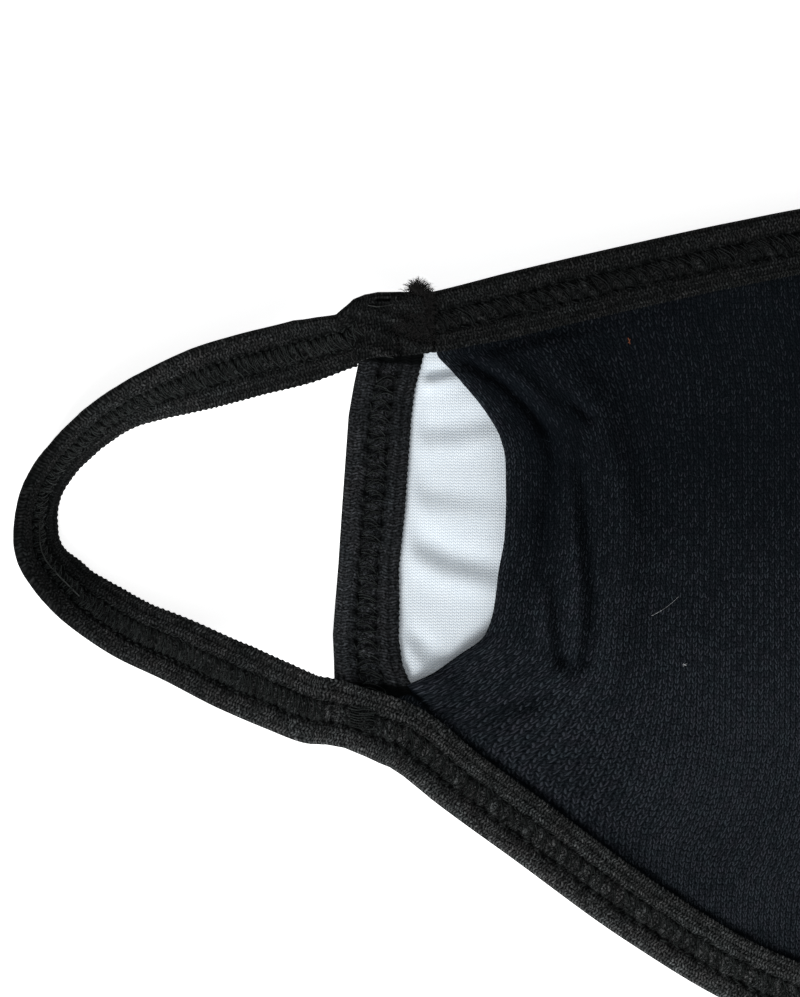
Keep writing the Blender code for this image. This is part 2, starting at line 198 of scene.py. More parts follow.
LOOP_TRIM = table(
    "along fold selvedge",
    (0.0, 0.85, -0.80),
    (3.4, 0.15, -1.00),
    (7.0, -0.30, -1.40),
    (9.2, -0.15, -1.50),
    (11.0, 0.35, -1.20),
    (13.0, 1.50, -0.50),
    (16.1, 0.70, -0.10),
    (20.1, 0.00, 0.05),
    (36.1, 0.08, 0.15),
    (48.1, 0.55, -0.25),
    (63.1, 0.65, -0.50),
    (70.1, 0.40, -0.25),
    (74.1, 0.20, 0.30),
    (78.1, 0.40, 0.55),
    (84.1, 0.10, 0.00),
    (95.1, -0.05, -0.10),
    (104.1, -0.05, 0.45),
    (112.1, 0.00, 0.95),
    (119.1, 0.00, 0.75),
    (128.1, -0.25, 0.10),
)

BOTTOM_TRIM = table(
    "along fold selvedge",
    (0.0, -0.20, 0.00),
    (3.0, 0.25, 0.00),
    (9.0, -0.35, 0.00),
    (15.0, -0.20, 0.00),
    (20.0, 0.00, 0.00),
)

TOP_TRIM = table(
    "along fold selvedge",
    (0.0, 0.00, -1.50),
    (7.0, 0.00, -1.30),
    (13.0, 0.00, -0.60),
    (17.0, 0.00, -0.50),
    (23.0, 0.00, 0.00),
)

# Painted light and shade on the elastic, lighter where the lamp catches it and darker where it falls away,
# at millimetres along a loop or side, or as a whole
LOOP_PAINTED_LIGHT = table(
    "along light",
    (0.0, 0.14),
    (11.0, 0.155),
    (18.0, 0.19),
    (30.0, 0.23),
    (42.0, 0.34),
    (56.0, 0.27),
    (66.0, 0.105),
    (82.0, 0.13),
    (94.0, 0.28),
    (110.0, 0.29),
    (122.0, 0.54),
    (130.0, 0.60),
)
SIDE_PAINTED_LIGHT = table(
    "along light",
    (0.0, 0.44),
    (30.0, 0.45),
    (50.0, 0.33),
)
TOP_PAINTED_LIGHT = 0.17
BOTTOM_PAINTED_LIGHT = 0.61

# Folds of the lining in millimetres, with lines in shares of the half width, half side and height
LINING_FOLDS = table(
    "height width line",
    (2.5, 13.0, [(0.65, 0.45, 1.0), (0.62, 0.05, 1.0), (0.62, -0.45, 1.0)]),
    (-0.9, 0.85, [(0.80, 0.75, 0.6), (0.735, 0.655, 1.0), (0.71, 0.61, 1.0), (0.666, 0.50, 1.0),
     (0.640, 0.41, 0.6)]),
    (-1.2, 1.5, [(0.80, 0.75, 0.2), (0.71, 0.61, 0.4), (0.666, 0.50, 0.5), (0.634, 0.385, 0.9),
     (0.621, 0.27, 1.0), (0.628, 0.16, 0.9), (0.637, 0.045, 1.0), (0.640, -0.09, 0.7),
     (0.653, -0.23, 0.7), (0.664, -0.37, 0.4), (0.675, -0.50, 0.3)]),
    (-1.3, 1.3, [(0.627, -0.16, 0.2), (0.619, -0.36, 0.6), (0.613, -0.50, 0.8), (0.608, -0.63, 1.5)]),
    (-0.6, 3.2, [(0.63, 0.42, 0.8), (0.62, 0.25, 1.0), (0.635, 0.0, 0.8), (0.640, -0.20, 0.5)]),
    (-1.4, 1.15, [(0.582, 0.25, 0.3), (0.569, 0.136, 0.5), (0.5675, 0.04, 0.8), (0.5665, -0.09, 0.75),
     (0.560, -0.23, 0.75), (0.552, -0.36, 0.85), (0.556, -0.50, 1.1), (0.571, -0.635, 1.3),
     (0.590, -0.69, 0.5)]),
    (-1.1, 0.8, [(0.600, 0.55, 0.4), (0.580, 0.51, 1.0), (0.562, 0.465, 1.0)]),
    (1.2, 2.9, [(0.615, 0.72, 0.6), (0.578, 0.60, 0.9), (0.540, 0.48, 0.9), (0.532, 0.385, 0.9),
     (0.518, 0.27, 0.9), (0.503, 0.16, 1.0), (0.495, 0.0, 1.0), (0.495, -0.20, 1.0), (0.500, -0.36, 0.9),
     (0.516, -0.50, 0.9), (0.530, -0.64, 0.6), (0.550, -0.75, 0.2)]),
    (1.0, 1.5, [(0.600, 0.30, 0.2), (0.592, 0.05, 0.7), (0.584, -0.10, 1.0), (0.580, -0.30, 1.0),
     (0.582, -0.50, 1.0), (0.590, -0.60, 0.4)]),
    (1.0, 1.4, [(0.72, 0.70, 0.5), (0.670, 0.605, 1.0), (0.630, 0.50, 0.8), (0.600, 0.44, 0.3)]),
    (0.6, 1.1, [(0.645, -0.30, 0.3), (0.643, -0.40, 1.0), (0.635, -0.52, 1.0)]),
    (-1.2, 1.4, [(0.630, -0.78, 0.5), (0.660, -0.82, 1.0), (0.694, -0.84, 0.9), (0.735, -0.88, 0.4)]),
)

# Gathers of the outer panel: lines across which the cloth steps up towards the chin, in the same terms
OUTER_GATHERS = table(
    "height width line",
    (1.10, 1.5, [(0.885, 0.66, 1.0), (0.845, 0.640, 1.0), (0.819, 0.655, 1.0), (0.780, 0.68, 0.3)]),
    (0.70, 2.6, [(0.880, 0.38, 1.1), (0.845, 0.38, 0.9), (0.792, 0.385, 1.0), (0.765, 0.405, 1.1),
     (0.70, 0.44, 0.2)]),
    (0.45, 2.6, [(0.880, 0.13, 1.0), (0.845, 0.09, 1.0), (0.792, 0.07, 0.9), (0.70, 0.05, 0.2)]),
    (0.85, 2.7, [(0.895, -0.10, 0.6), (0.872, -0.135, 0.9), (0.845, -0.163, 1.0), (0.819, -0.199, 1.0),
     (0.765, -0.235, 1.0), (0.70, -0.27, 0.2)]),
    (0.60, 2.0, [(0.900, -0.52, 0.7), (0.872, -0.57, 1.0), (0.845, -0.66, 1.0), (0.800, -0.72, 0.3)]),
)

# Lengthwise zones of the folded elastic, as shares of its width
FIRST_NEEDLE = 0.335
SECOND_NEEDLE = 0.675
EDGE_GROOVE = 0.86
BEAD_AT = 0.94
PICOT_PITCH = 0.94 * MM
PICOT_REACH = 0.15 * MM
THREAD_RADIUS = 0.10 * MM
LOOPER_RADIUS = 0.09 * MM
CUT_LINE_AT = 4.8 * MM
SLIT_AT = 6.3 * MM
SLIT_LENGTH = 2.5 * MM
SLIT_SHARE = 0.115
# Lengths at the ends of the side bindings that are painted dark as the shadow where they tuck under the
# other bands, and the fade of that painted shadow
LOWER_PAINTED_SHADOW = 4.8 * MM
UPPER_PAINTED_SHADOW = 2.8 * MM
SHADOW_FADE = 0.6 * MM

# Heights and depths of the elastic's forms above and below its face
FOLD_RISE = 0.16 * MM
RIB_RISE = 0.08 * MM
BEAD_RISE = 0.10 * MM
CELL_RISE = 0.50 * MM
CELL_FLOOR = 0.30 * MM
NEEDLE_DEPTH = 0.42 * MM
GROOVE_DEPTH = 0.14 * MM
FOLD_RADIUS = 1.3 * MM
FOLD_FADE = 0.8 * MM
THIN_EDGE = 0.25 * MM
PUCKER_RISE = 0.20 * MM
CUT_DEPTH = 0.55 * MM
SLIT_DEPTH = 0.75 * MM

# Relief below the face that is painted darkest, as shade in its hollows, and above it that is painted
# lightest
DARKEST = 0.50 * MM
LIGHTEST = 0.25 * MM

# Edges of a mesh that meet at more than this angle stay sharp
SHARP_ANGLE = math.radians(70)

# Seams: gaps between their crosswise grooves
BINDING_STITCH = 2.2 * MM
SIDE_STITCH = 2.3 * MM
LOOP_STITCH = 1.25 * MM


def smoothstep(value):
    """Ease from 0 to 1."""
    t = np.clip(value, 0.0, 1.0)
    return t * t * (3 - 2 * t)


def arc(share):
    """Rise from 0 to 1 and fall back to 0, as a share runs from 0 to 1."""
    return np.sin(share * math.pi)


def hill(value, middle, width):
    """Soft hill of height 1."""
    return np.exp(-((value - middle) / width) ** 2)


def blend(low, high, share):
    """Straight mix of two values."""
    return low + (high - low) * share


def curve_through(rows, along, column):
    """Monotone cubic through two columns of a table, as a function that runs straight on before it."""
    knots = np.array([row[along] for row in rows])
    values = np.array([row[column] for row in rows])
    steps = np.diff(knots)
    slopes = np.diff(values) / steps
    tangents = np.zeros(len(knots))
    for i in range(1, len(knots) - 1):
        if slopes[i - 1] * slopes[i] > 0:
            tangents[i] = 2 * slopes[i - 1] * slopes[i] / (slopes[i - 1] + slopes[i])
    tangents[0] = slopes[0]

    def value_at(position):
        p = np.clip(position, knots[0], knots[-1])
        i = np.clip(np.searchsorted(knots, p, side="right") - 1, 0, len(steps) - 1)
        t = (p - knots[i]) / steps[i]
        start = (1 + 2 * t) * (1 - t) ** 2 * values[i] + t * (1 - t) ** 2 * steps[i] * tangents[i]
        end = t * t * (3 - 2 * t) * values[i + 1] + t * t * (t - 1) * steps[i] * tangents[i + 1]
        before = values[0] + (position - knots[0]) * tangents[0]
        return np.where(position < knots[0], before, start + end)

    return value_at


top_share = curve_through(EDGE_SHAPE, "inward", "top")
bottom_share = curve_through(EDGE_SHAPE, "inward", "bottom")
mouth_share = curve_through(MOUTH_SHAPE, "height", "reach")


def top_fold(x):
    """Height of the top binding's fold in plan."""
    return SIDE_TOP + NOSE_RISE * top_share(1 - np.abs(x) / HALF_WIDTH)


def bottom_fold(x):
    """Height of the bottom binding's fold in plan."""
    return -SIDE_BOTTOM - CHIN_DROP * bottom_share(1 - np.abs(x) / HALF_WIDTH)


def fold_slope(fold_at, x):
    """Slope of a fold in plan."""
    return (fold_at(x + SLOPE_STEP) - fold_at(x - SLOPE_STEP)) / (2 * SLOPE_STEP)


def side_fold(y):
    """Distance from the centre line to the side binding's fold."""
    return HALF_WIDTH - y * math.tan(SIDE_SLANT)


def cup_height(x, y):
    """Height of the cupped surface, which falls to the table beyond the sides."""
    across = np.abs(x) / HALF_WIDTH
    high, low = top_fold(x), bottom_fold(x)
    along = np.abs(y - (high + low) / 2) / ((high - low) / 2)
    side = SIDE_RISE * smoothstep((across - FLAT_WIDTH_SHARE) / (1 - FLAT_WIDTH_SHARE))
    edge = EDGE_RISE * np.maximum((along - FLAT_HEIGHT_SHARE) / (1 - FLAT_HEIGHT_SHARE), 0.0) ** 2
    fall = smoothstep((np.abs(x) - HALF_WIDTH) / LOOP_FALL)
    return (side + edge) * (1 - fall)


def place(x, y, height):
    """Points in the part's frame at heights above the cupped surface."""
    return np.stack([x, y - MID_Y, cup_height(x, y) + height], axis=-1)


def px_point(px, py):
    """Plan position of a pixel of the photograph."""
    return (px - CENTRE_LINE_PX) / PX_PER_MM * MM, (MID_SIDE_PX - py) / PX_PER_MM * MM


def fold_distance(fold_at, x, y):
    """Distance from a fold, square to it."""
    return np.abs(fold_at(x) - y) / np.hypot(1, fold_slope(fold_at, x))


def clear_of_bands(x, y, margin, fade):
    """0 where a binding grips the panels, 1 a little way inside."""
    nearest = np.minimum(fold_distance(top_fold, x, y), fold_distance(bottom_fold, x, y))
    nearest = np.minimum(nearest, side_fold(y) - np.abs(x))
    return smoothstep((nearest - BAND_WIDTH - margin) / fade)


def pieces_of(row, x, y):
    """Share of height, distance and place below, both in widths, for each piece of a row's broken line."""
    width = row["width"] * MM
    corners = [(across * HALF_WIDTH, up * HALF_SIDE, share) for across, up, share in row["line"]]
    for (ax, ay, first), (bx, by, last) in zip(corners, corners[1:]):
        dx, dy = bx - ax, by - ay
        from_x, from_y = np.abs(x) - ax, y - ay
        t = np.clip((from_x * dx + from_y * dy) / (dx * dx + dy * dy), 0.0, 1.0)
        off_x, off_y = from_x - t * dx, from_y - t * dy
        below = (off_x * dy - off_y * dx) * np.sign(dx) / (np.hypot(dx, dy) * width)
        yield blend(first, last, t), np.hypot(off_x, off_y) / width, below


def relief(x, y, rows):
    """Sum of the soft ridges and valleys of a table, alike on both sides of the centre line."""
    total = np.zeros(np.shape(x))
    for row in rows:
        ridge = np.zeros(np.shape(x))
        for share, away, _ in pieces_of(row, x, y):
            ridge = np.maximum(ridge, share * np.exp(-away * away))
        total += row["height"] * MM * ridge
    return total


def stepped(x, y, rows):
    """Sum of the soft steps of a table, sunk above their lines and raised below them."""
    total = np.zeros(np.shape(x))
    for row in rows:
        nearest, step = np.full(np.shape(x), np.inf), np.zeros(np.shape(x))
        for share, away, below in pieces_of(row, x, y):
            step = np.where(away < nearest, share * below * np.exp(0.5 - away * away), step)
            nearest = np.minimum(nearest, away)
        total += row["height"] * MM * step
    return total


def waves(x, y, seed, size, count):
    """Smooth seeded unevenness, mostly between -1 and 1."""
    draw = np.random.default_rng(seed)
    total = 0.0
    for _ in range(count):
        angle, phase = draw.uniform(0, 2 * math.pi, 2)
        length = size * draw.uniform(0.7, 1.6)
        total += np.sin((x * math.cos(angle) + y * math.sin(angle)) * 2 * math.pi / length + phase)
    return total / math.sqrt(count)


# Meshes from grids of points

def add_object(name, data):
    """New object in the scene."""
    made = bpy.data.objects.new(name, data)
    bpy.context.scene.collection.objects.link(made)
    return made


def grid_quads(rows, columns, closed=False):
    """Corners of the quads of a grid of rows by columns, closed round its columns if asked."""
    last = columns if closed else columns - 1
    row, column = np.meshgrid(np.arange(rows - 1), np.arange(last), indexing="ij")
    a = row * columns + column
    b = row * columns + (column + 1) % columns
    return np.stack([a, b, b + columns, a + columns], axis=-1).reshape(-1, 4)


def mesh_object(name, vertices, faces, uvs, material, form=None):
    """Closed mesh with a fabric coordinate, and if given a form one, for each vertex."""
    mesh = bpy.data.meshes.new(name)
    mesh.from_pydata(vertices.reshape(-1, 3).tolist(), [], faces)
    corner = np.zeros(len(mesh.loops), dtype=np.int64)
    mesh.loops.foreach_get("vertex_index", corner)
    for layer_name, values in (("fabric", uvs), ("form", form)):
        if values is not None:
            layer = mesh.uv_layers.new(name=layer_name)
            layer.data.foreach_set("uv", values.reshape(-1, 2)[corner].astype(np.float32).ravel())
    mesh.materials.append(material)
    mesh.shade_smooth()
    mesh.set_sharp_from_angle(angle=SHARP_ANGLE)
    return add_object(name, mesh)


def shell_object(name, low, high, uv, form, material):
    """Closed sheet between two grids of points."""
    rows, columns = low.shape[:2]
    count = rows * columns
    quads = grid_quads(rows, columns)
    index = np.arange(count).reshape(rows, columns)
    rim = np.concatenate([index[0], index[1:, -1], index[-1, -2::-1], index[-2:0:-1, 0]])
    onward = np.roll(rim, -1)
    walls = np.stack([rim, onward, count + onward, count + rim], axis=-1)
    faces = np.concatenate([quads[:, ::-1], quads + count, walls]).tolist()
    points, uvs, forms = np.stack([low, high]), np.stack([uv, uv]), np.stack([form, form])
    return mesh_object(name, points, faces, uvs, material, forms)


def tube_object(name, grid, uv, material, form=None):
    """Closed tube through rings of points, rows along it, with its faces turned out."""
    rows, columns = grid.shape[:2]
    flat = grid.reshape(-1, 3)
    quads = grid_quads(rows, columns, closed=True)
    caps = [list(range(columns))[::-1], list(range((rows - 1) * columns, rows * columns))]
    a, b, c = flat[quads[:, 0]], flat[quads[:, 1]], flat[quads[:, 2]]
    if np.einsum("ij,ij->i", a - flat.mean(axis=0), np.cross(b - a, c - a)).sum() < 0:
        quads = quads[:, ::-1]
        caps = [cap[::-1] for cap in caps]
    return mesh_object(name, grid, quads.tolist() + caps, uv, material, form)


def threads_object(name, paths, radius, sides, material):
    """Joined thin tubes along paths of equal point counts, closed at their ends."""
    paths = np.asarray(paths)
    many, length = paths.shape[:2]
    along = np.gradient(paths, axis=1)
    along /= np.linalg.norm(along, axis=-1, keepdims=True) + 1e-12
    across = np.cross(along, np.array([0.05, 0.11, 1.0]))
    across /= np.linalg.norm(across, axis=-1, keepdims=True) + 1e-12
    over = np.cross(across, along)
    turns = np.arange(sides) * 2 * math.pi / sides
    thickness = np.broadcast_to(np.asarray(radius, float), (many, length))[..., None, None]
    ring = across[:, :, None] * np.cos(turns)[:, None] + over[:, :, None] * np.sin(turns)[:, None]
    vertices = paths[:, :, None] + ring * thickness
    size = length * sides
    starts = np.arange(many)[:, None, None] * size
    faces = (starts + grid_quads(length, sides, closed=True)[:, ::-1]).reshape(-1, 4).tolist()
    for start in range(0, many * size, size):
        faces.append(list(range(start, start + sides)))
        faces.append(list(range(start + size - 1, start + size - sides - 1, -1)))
    uvs = np.zeros((many, length, sides, 2))
    uvs[..., 0] = np.arange(many)[:, None, None] + np.arange(sides) / sides
    uvs[..., 1] = np.linspace(0, 1, length)[None, :, None]
    return mesh_object(name, vertices, faces, uvs, material)


# Materials

class Value:
    """Number in a material that arithmetic turns into math nodes."""

    def __init__(self, socket):
        self.socket = socket

    def math(self, operation, *others):
        """Result of a math node on this number and others."""
        node = self.socket.id_data.nodes.new("ShaderNodeMath")
        node.operation = operation
        for socket, value in zip(node.inputs, (self, *others)):
            feed(socket, value)
        return Value(node.outputs[0])

    def __add__(self, other):
        return self.math("ADD", other)

    def __sub__(self, other):
        return self.math("SUBTRACT", other)

    def __rsub__(self, other):
        return self.math("MULTIPLY_ADD", -1.0, other)

    def __mul__(self, other):
        return self.math("MULTIPLY", other)

    def __truediv__(self, other):
        return self.math("DIVIDE", other)

    def __pow__(self, other):
        return self.math("POWER", other)


def feed(socket, value):
    """Give a socket a number, a colour or a link."""
    if isinstance(value, Value):
        socket.id_data.links.new(value.socket, socket)
    elif isinstance(value, tuple):
        socket.default_value = (*value, 1.0)
    else:
        socket.default_value = value


class Look:
    """Material that is being made, and the inputs of its shader."""

    def __init__(self, name, roughness, specular):
        self.material = bpy.data.materials.new(name)
        self.material.use_nodes = True
        self.tree = self.material.node_tree
        self.shader = self.tree.nodes["Principled BSDF"].inputs
        for name, value in (("Metallic", 0.0), ("Roughness", roughness), ("Specular IOR Level", specular)):
            feed(self.shader[name], value)

    def node(self, kind, output, values=(), settings=()):
        """Output of a new node with its settings, and with values in its inputs."""
        node = self.tree.nodes.new(kind)
        for name, value in dict(settings).items():
            setattr(node, name, value)
        for name, value in dict(values).items():
            feed(node.inputs[name], value)
        return Value(node.outputs[output])

    def split(self, vector):
        """First two numbers of a vector or colour."""
        return [self.node("ShaderNodeSeparateXYZ", part, {0: vector}) for part in "XY"]

    def layer(self, name):
        """Vector and both numbers of a UV layer."""
        vector = self.node("ShaderNodeUVMap", "UV", settings={"uv_map": name})
        return (vector, *self.split(vector))

    def noise(self, vector, scale, detail, distortion=0.0, output="Fac"):
        """Noise between 0 and 1 on a vector, as a number or a colour."""
        values = {"Vector": vector, "Scale": scale, "Detail": detail, "Distortion": distortion}
        return self.node("ShaderNodeTexNoise", output, values)

    def chance(self, first, second):
        """Random share for a pair of whole numbers."""
        pair = self.node("ShaderNodeCombineXYZ", 0, {"X": first, "Y": second})
        return self.node("ShaderNodeTexWhiteNoise", "Value", {"Vector": pair}, {"noise_dimensions": "2D"})

    def between(self, factor, dark, light):
        """Colour mixed by a factor from a dark one to a light one."""
        values = {"A": dark, "B": light, "Factor": factor}
        return self.node("ShaderNodeMix", "Result", values, {"data_type": "RGBA"})

    def finish(self, color, height=None, distance=0.0, strength=0.0):
        """Material with its base colour, and with a bump from a height if one is given."""
        feed(self.shader["Base Color"], color)
        if height is not None:
            values = {"Height": height, "Distance": distance, "Strength": strength}
            feed(self.shader["Normal"], self.node("ShaderNodeBump", "Normal", values))
        return self.material


def shifted(look, uv, across, along, scale, amount):
    """Fabric coordinates bent by noise."""
    push = look.split(look.noise(uv, scale, 3.0, output="Color"))
    return [(by - 0.5) * amount + way for by, way in zip(push, (across, along))]


def in_columns(across, column, lean):
    """Number of a column of stitches, share across it from its middle, and its lean to one side."""
    scaled = across / column
    index = scaled.math("FLOOR")
    return index, scaled.math("FRACT") - 0.5, index.math("FLOORED_MODULO", 2.0) * (-2.0 * lean) + lean


def loops_of_knit(look, across, along, column, pitch, lean, thickness):
    """Slanted loops in columns that lean in turn: height of each, and a random share for it."""
    index, off_middle, turn = in_columns(across, column, lean)
    phase = off_middle * turn + along / pitch
    off_row = (phase.math("FRACT") - 0.5) / thickness
    side_way = (off_middle / 0.54).math("ABSOLUTE") ** 3.0
    height = (1.0 - side_way - off_row * off_row).math("MAXIMUM", 0.0).math("SQRT")
    return height, look.chance(index, phase.math("FLOOR"))


def short_strokes(look, across, along, column, pitch, lean, half_width, half_length):
    """Short raised strokes in columns that lean in turn: height of each, and a random share for it."""
    index, off_middle, turn = in_columns(across, column, lean)
    phase = look.chance(index, index) * 0.6 + along / pitch
    off_row = (phase.math("FRACT") - 0.5) * pitch
    side_way = ((off_row * turn + off_middle * column) / half_width).math("ABSOLUTE") ** 2.0
    end_way = (off_row / half_length).math("ABSOLUTE") ** 4.0
    height = (1.0 - side_way - end_way).math("MAXIMUM", 0.0).math("SQRT")
    return height, look.chance(index, phase.math("FLOOR"))


def lining_material():
    """Blue-black cotton knit of short, uneven V stitches, with dark pits and faint tints."""
    look = Look("lining_knit", 0.9, 0.02)
    uv, across, along = look.layer("fabric")
    _, painted_lightness, painted_light_gradient = look.layer("form")
    bent_across, bent_along = shifted(look, uv, across, along, 0.9, 0.45)
    column = 0.42
    stitches, chance = short_strokes(look, bent_across, bent_along, column, 0.90, 0.26, 0.115, 0.43)
    groove = ((bent_across * (math.pi / column)).math("COSINE") * 0.5 + 0.5) ** 2.5
    fuzz = look.noise(uv, 3.2, 4.0)
    cloud = look.noise(uv, 0.08, 4.0)
    tone = (fuzz - 0.37) * 1.25 + stitches * (chance ** 2.2 * 1.55 + 0.22)
    # Painted shade of the lining's folds and crease, and painted light towards the hem and chin, scale the
    # tone here.
    tone = tone * (cloud * 0.8 + 0.62) * (groove * -0.55 + 1.0) * painted_lightness * (painted_light_gradient * 0.75 + 0.37)
    tint = look.noise(uv, 0.45, 3.0) * 2.4 - 0.7
    light = look.between(tint, (0.030, 0.039, 0.046), (0.036, 0.038, 0.048))
    color = look.between(tone.math("MAXIMUM", 0.0), (0.0020, 0.0032, 0.0046), light)
    return look.finish(color, fuzz * 0.5 + stitches, 0.22 * MM, 0.8)


def outer_material():
    """White polyester knit with a fine, even stitch."""
    look = Look("outer_knit", 0.8, 0.2)
    uv, across, along = look.layer("fabric")
    bent_across, bent_along = shifted(look, uv, across, along, 0.3, 0.5)
    stitches, chance = loops_of_knit(look, bent_across, bent_along, 0.31, 0.48, 0.5, 0.45)
    tone = look.noise(uv, 0.35, 2.0) * 0.25 + stitches * (chance * 0.3 + 0.6)
    color = look.between(tone, (0.66, 0.75, 0.84), (0.90, 0.96, 1.0))
    return look.finish(color, stitches, 0.09 * MM, 0.7)


def elastic_material(name, column, lean, light, contrast):
    """Black folded elastic: ribs of slanted loops, and tangled threads between the needle lines."""
    look = Look(name, 0.75, 0.015)
    uv, across, along = look.layer("fabric")
    _, painted_lightness, tangled = look.layer("form")
    bent_across, bent_along = shifted(look, uv, across, along, 1.3, 0.75)
    ribs, chance = loops_of_knit(look, bent_across, bent_along, column, 0.48, lean, 0.42)
    ribs = ribs * (chance * 0.75 + 0.25) * contrast + 0.55 * (1.0 - contrast)
    strand = (look.noise(uv, 1.1, 3.0, 1.5) - 0.5).math("ABSOLUTE") * -11.0 + 1.0
    crinkle = look.noise(uv, 2.6, 5.0)
    threads = strand.math("MAXIMUM", 0.0) * 0.9 + crinkle * 0.35
    height = ribs * (1.0 - tangled) + threads * tangled
    rough = (crinkle * 5.2 - 1.75).math("MAXIMUM", 0.04)
    warm = look.noise(uv, 0.22, 2.0) * 2.0 - 0.5
    tinted = look.between(warm, light, (light[0] * 1.14, light[1] * 0.99, light[2] * 0.97))
    # The form layer's first number, painted shade in hollows and painted light along the band, scales the
    # elastic's colour.
    color = look.between(height * painted_lightness * rough, (0.0016, 0.0020, 0.0020), tinted)
    return look.finish(color, crinkle * 0.5 + height, 0.20 * MM, 0.9)


def thread_material(name, color, roughness):
    """Twisted sewing threads or loose fibres, each a little lighter or darker."""
    look = Look(name, roughness, 0.04)
    _, across, along = look.layer("fabric")
    chance = look.chance(across.math("FLOOR"), (along * 3.0).math("FLOOR"))
    twist = ((along * 6.0 + across) * (2 * math.pi)).math("SINE") * 0.3 + 0.5
    return look.finish(look.between(chance * (twist + 0.4), tuple(0.25 * c for c in color), color))


def floor_material():
    """Pale matt table that glows a little."""
    look = Look("table_top", 0.9, 0.05)
    grain = look.noise(look.node("ShaderNodeTexCoord", "Object"), 30.0, 3.0)
    feed(look.shader["Emission Color"], (1.0, 1.0, 1.0))
    feed(look.shader["Emission Strength"], 0.74)
    return look.finish(look.between(grain, (0.88, 0.88, 0.88), (0.92, 0.92, 0.92)))


# Panels

def crowded(count, crowding):
    """Shares from 0 to 1 with finer steps towards both ends."""
    t = np.linspace(0, 1, count)
    return t - crowding * np.sin(2 * math.pi * t) / (2 * math.pi)


def panel_plan(columns, rows, edge_at):
    """Plan positions of a panel's grid, with the reach of its edge for each row's share of the height."""
    share = np.linspace(0, 1, rows)[:, None]
    edge = edge_at(share)
    x = -edge * (1 - 2 * crowded(columns, 0.6)[None, :])
    top = top_fold(x) - PANEL_INSET * np.hypot(1, fold_slope(top_fold, x))
    bottom = bottom_fold(x) + PANEL_INSET * np.hypot(1, fold_slope(bottom_fold, x))
    return x, blend(bottom, top, share), edge


def gathers(x, y):
    """Relief of the outer panel."""
    soft = 0.10 * MM * waves(x, y, 5, 16 * MM, 6)
    return (stepped(x, y, OUTER_GATHERS) + soft) * clear_of_bands(x, y, 0.2 * MM, 2.0 * MM)


def make_outer(material):
    """White outer panel with the gathers that the side bindings draw in."""
    def edge_at(share):
        y = blend(bottom_fold(HALF_WIDTH), top_fold(HALF_WIDTH), share)
        return side_fold(y) - PANEL_INSET / math.cos(SIDE_SLANT)

    x, y, _ = panel_plan(120, 110, edge_at)
    height = gathers(x, y)
    bend = 1.2 * MM * np.sin(y / HALF_SIDE * 1.5)
    uv = np.stack([x + bend, y], axis=-1) / MM
    low, high = place(x, y, height), place(x, y, height + OUTER_THICKNESS)
    return shell_object("outer_panel_cloth", low, high, uv, np.ones(uv.shape), material)


def lining_mouth(share):
    """Reach of the lining's edge from the centre line."""
    return HALF_WIDTH - POCKET_REACH * mouth_share(share)


def lining_heights(x, y, edge):
    """Lower and upper height of the lining above the cupped surface, and its painted shade."""
    folds = relief(x, y, LINING_FOLDS)
    narrow = relief(x, y, LINING_FOLDS[1:])
    soft = 0.15 * MM * (1 + waves(x, y, 7, 15 * MM, 6))
    free = clear_of_bands(x, y, 0.2 * MM, 2.5 * MM)
    lift = np.maximum(folds, 0.25 * np.minimum(folds + 0.4 * MM, 0.0)) + np.maximum(soft, 0)
    low = LINING_LOW + gathers(x, y) + np.maximum(lift, 0) * free
    from_edge = edge - np.abs(x)
    hem = HEM_EXTRA * smoothstep(1 - from_edge / HEM_WIDTH) * clear_of_bands(x, y, 0.0, 2.0 * MM)
    rounding = EDGE_DROP * (1 - np.sqrt(np.clip(from_edge / EDGE_ROUND, 0.0, 1.0)))
    beside_band = fold_distance(bottom_fold, x, y) - BAND_WIDTH
    crevice = np.clip(1.6 * hill(beside_band, CREVICE_AT, CREVICE_WIDTH), 0.0, 1.0)
    high = low + LINING_THICKNESS + hem - rounding - CREVICE_DEPTH * crevice
    # Painted shade: darker along the narrow valleys of the folds and in the crease by the bottom band, and
    # painted light on the narrow ridges.
    painted_shade = 0.5 * np.clip(-narrow / (1.5 * MM), -0.7, 1.0) * free + crevice
    return low, high, painted_shade


def make_lining(material):
    """Dark lining, whose wales run along the turned hem at each pocket mouth."""
    x, y, edge = panel_plan(230, 165, lining_mouth)
    low, high, painted_shade = lining_heights(x, y, edge)
    from_edge = edge - np.abs(x)
    deepest = HALF_WIDTH - POCKET_REACH
    drawn_aside = WALE_SHIFT * np.tanh((edge - deepest) / WALE_SHIFT)
    straight = smoothstep((from_edge - WALE_HEM) / WALE_FADE)
    wale = np.sign(x) * (from_edge - drawn_aside * straight)
    uv = np.stack([wale, y], axis=-1) / MM
    # Painted light: the lining is coloured lighter below a height, near its hem and more towards the chin,
    # where the lamp falls on it more.
    painted_light_gradient = np.maximum(smoothstep((PAINTED_LIGHT_TOP - y) / PAINTED_LIGHT_FADE), 0.75 * smoothstep(1 - from_edge / PAINTED_LIGHT_HEM))
    painted_light_gradient = painted_light_gradient + 0.5 * smoothstep((PAINTED_LIGHT_FOOT - y) / PAINTED_LIGHT_FOOT_FADE)
    form = np.stack([np.clip(1.0 - painted_shade, 0.0, 1.4), painted_light_gradient], axis=-1)
    return shell_object("lining_panel_cloth", place(x, y, low), place(x, y, high), uv, form, material)


# Folded elastic

def station(x, y, inward, slot, width=BAND_WIDTH, tilt=0.0):
    """One station of a band."""
    return [x, y, inward[0], inward[1], slot[0], slot[1], width, tilt]


def inward_from(fold_at, x):
    """Direction in plan from the top or bottom fold into the body, square to the fold."""
    into_body = -1 if fold_at is top_fold else 1
    slope = float(fold_slope(fold_at, x))
    length = math.hypot(1, slope)
    return (-slope * into_body / length, into_body / length)


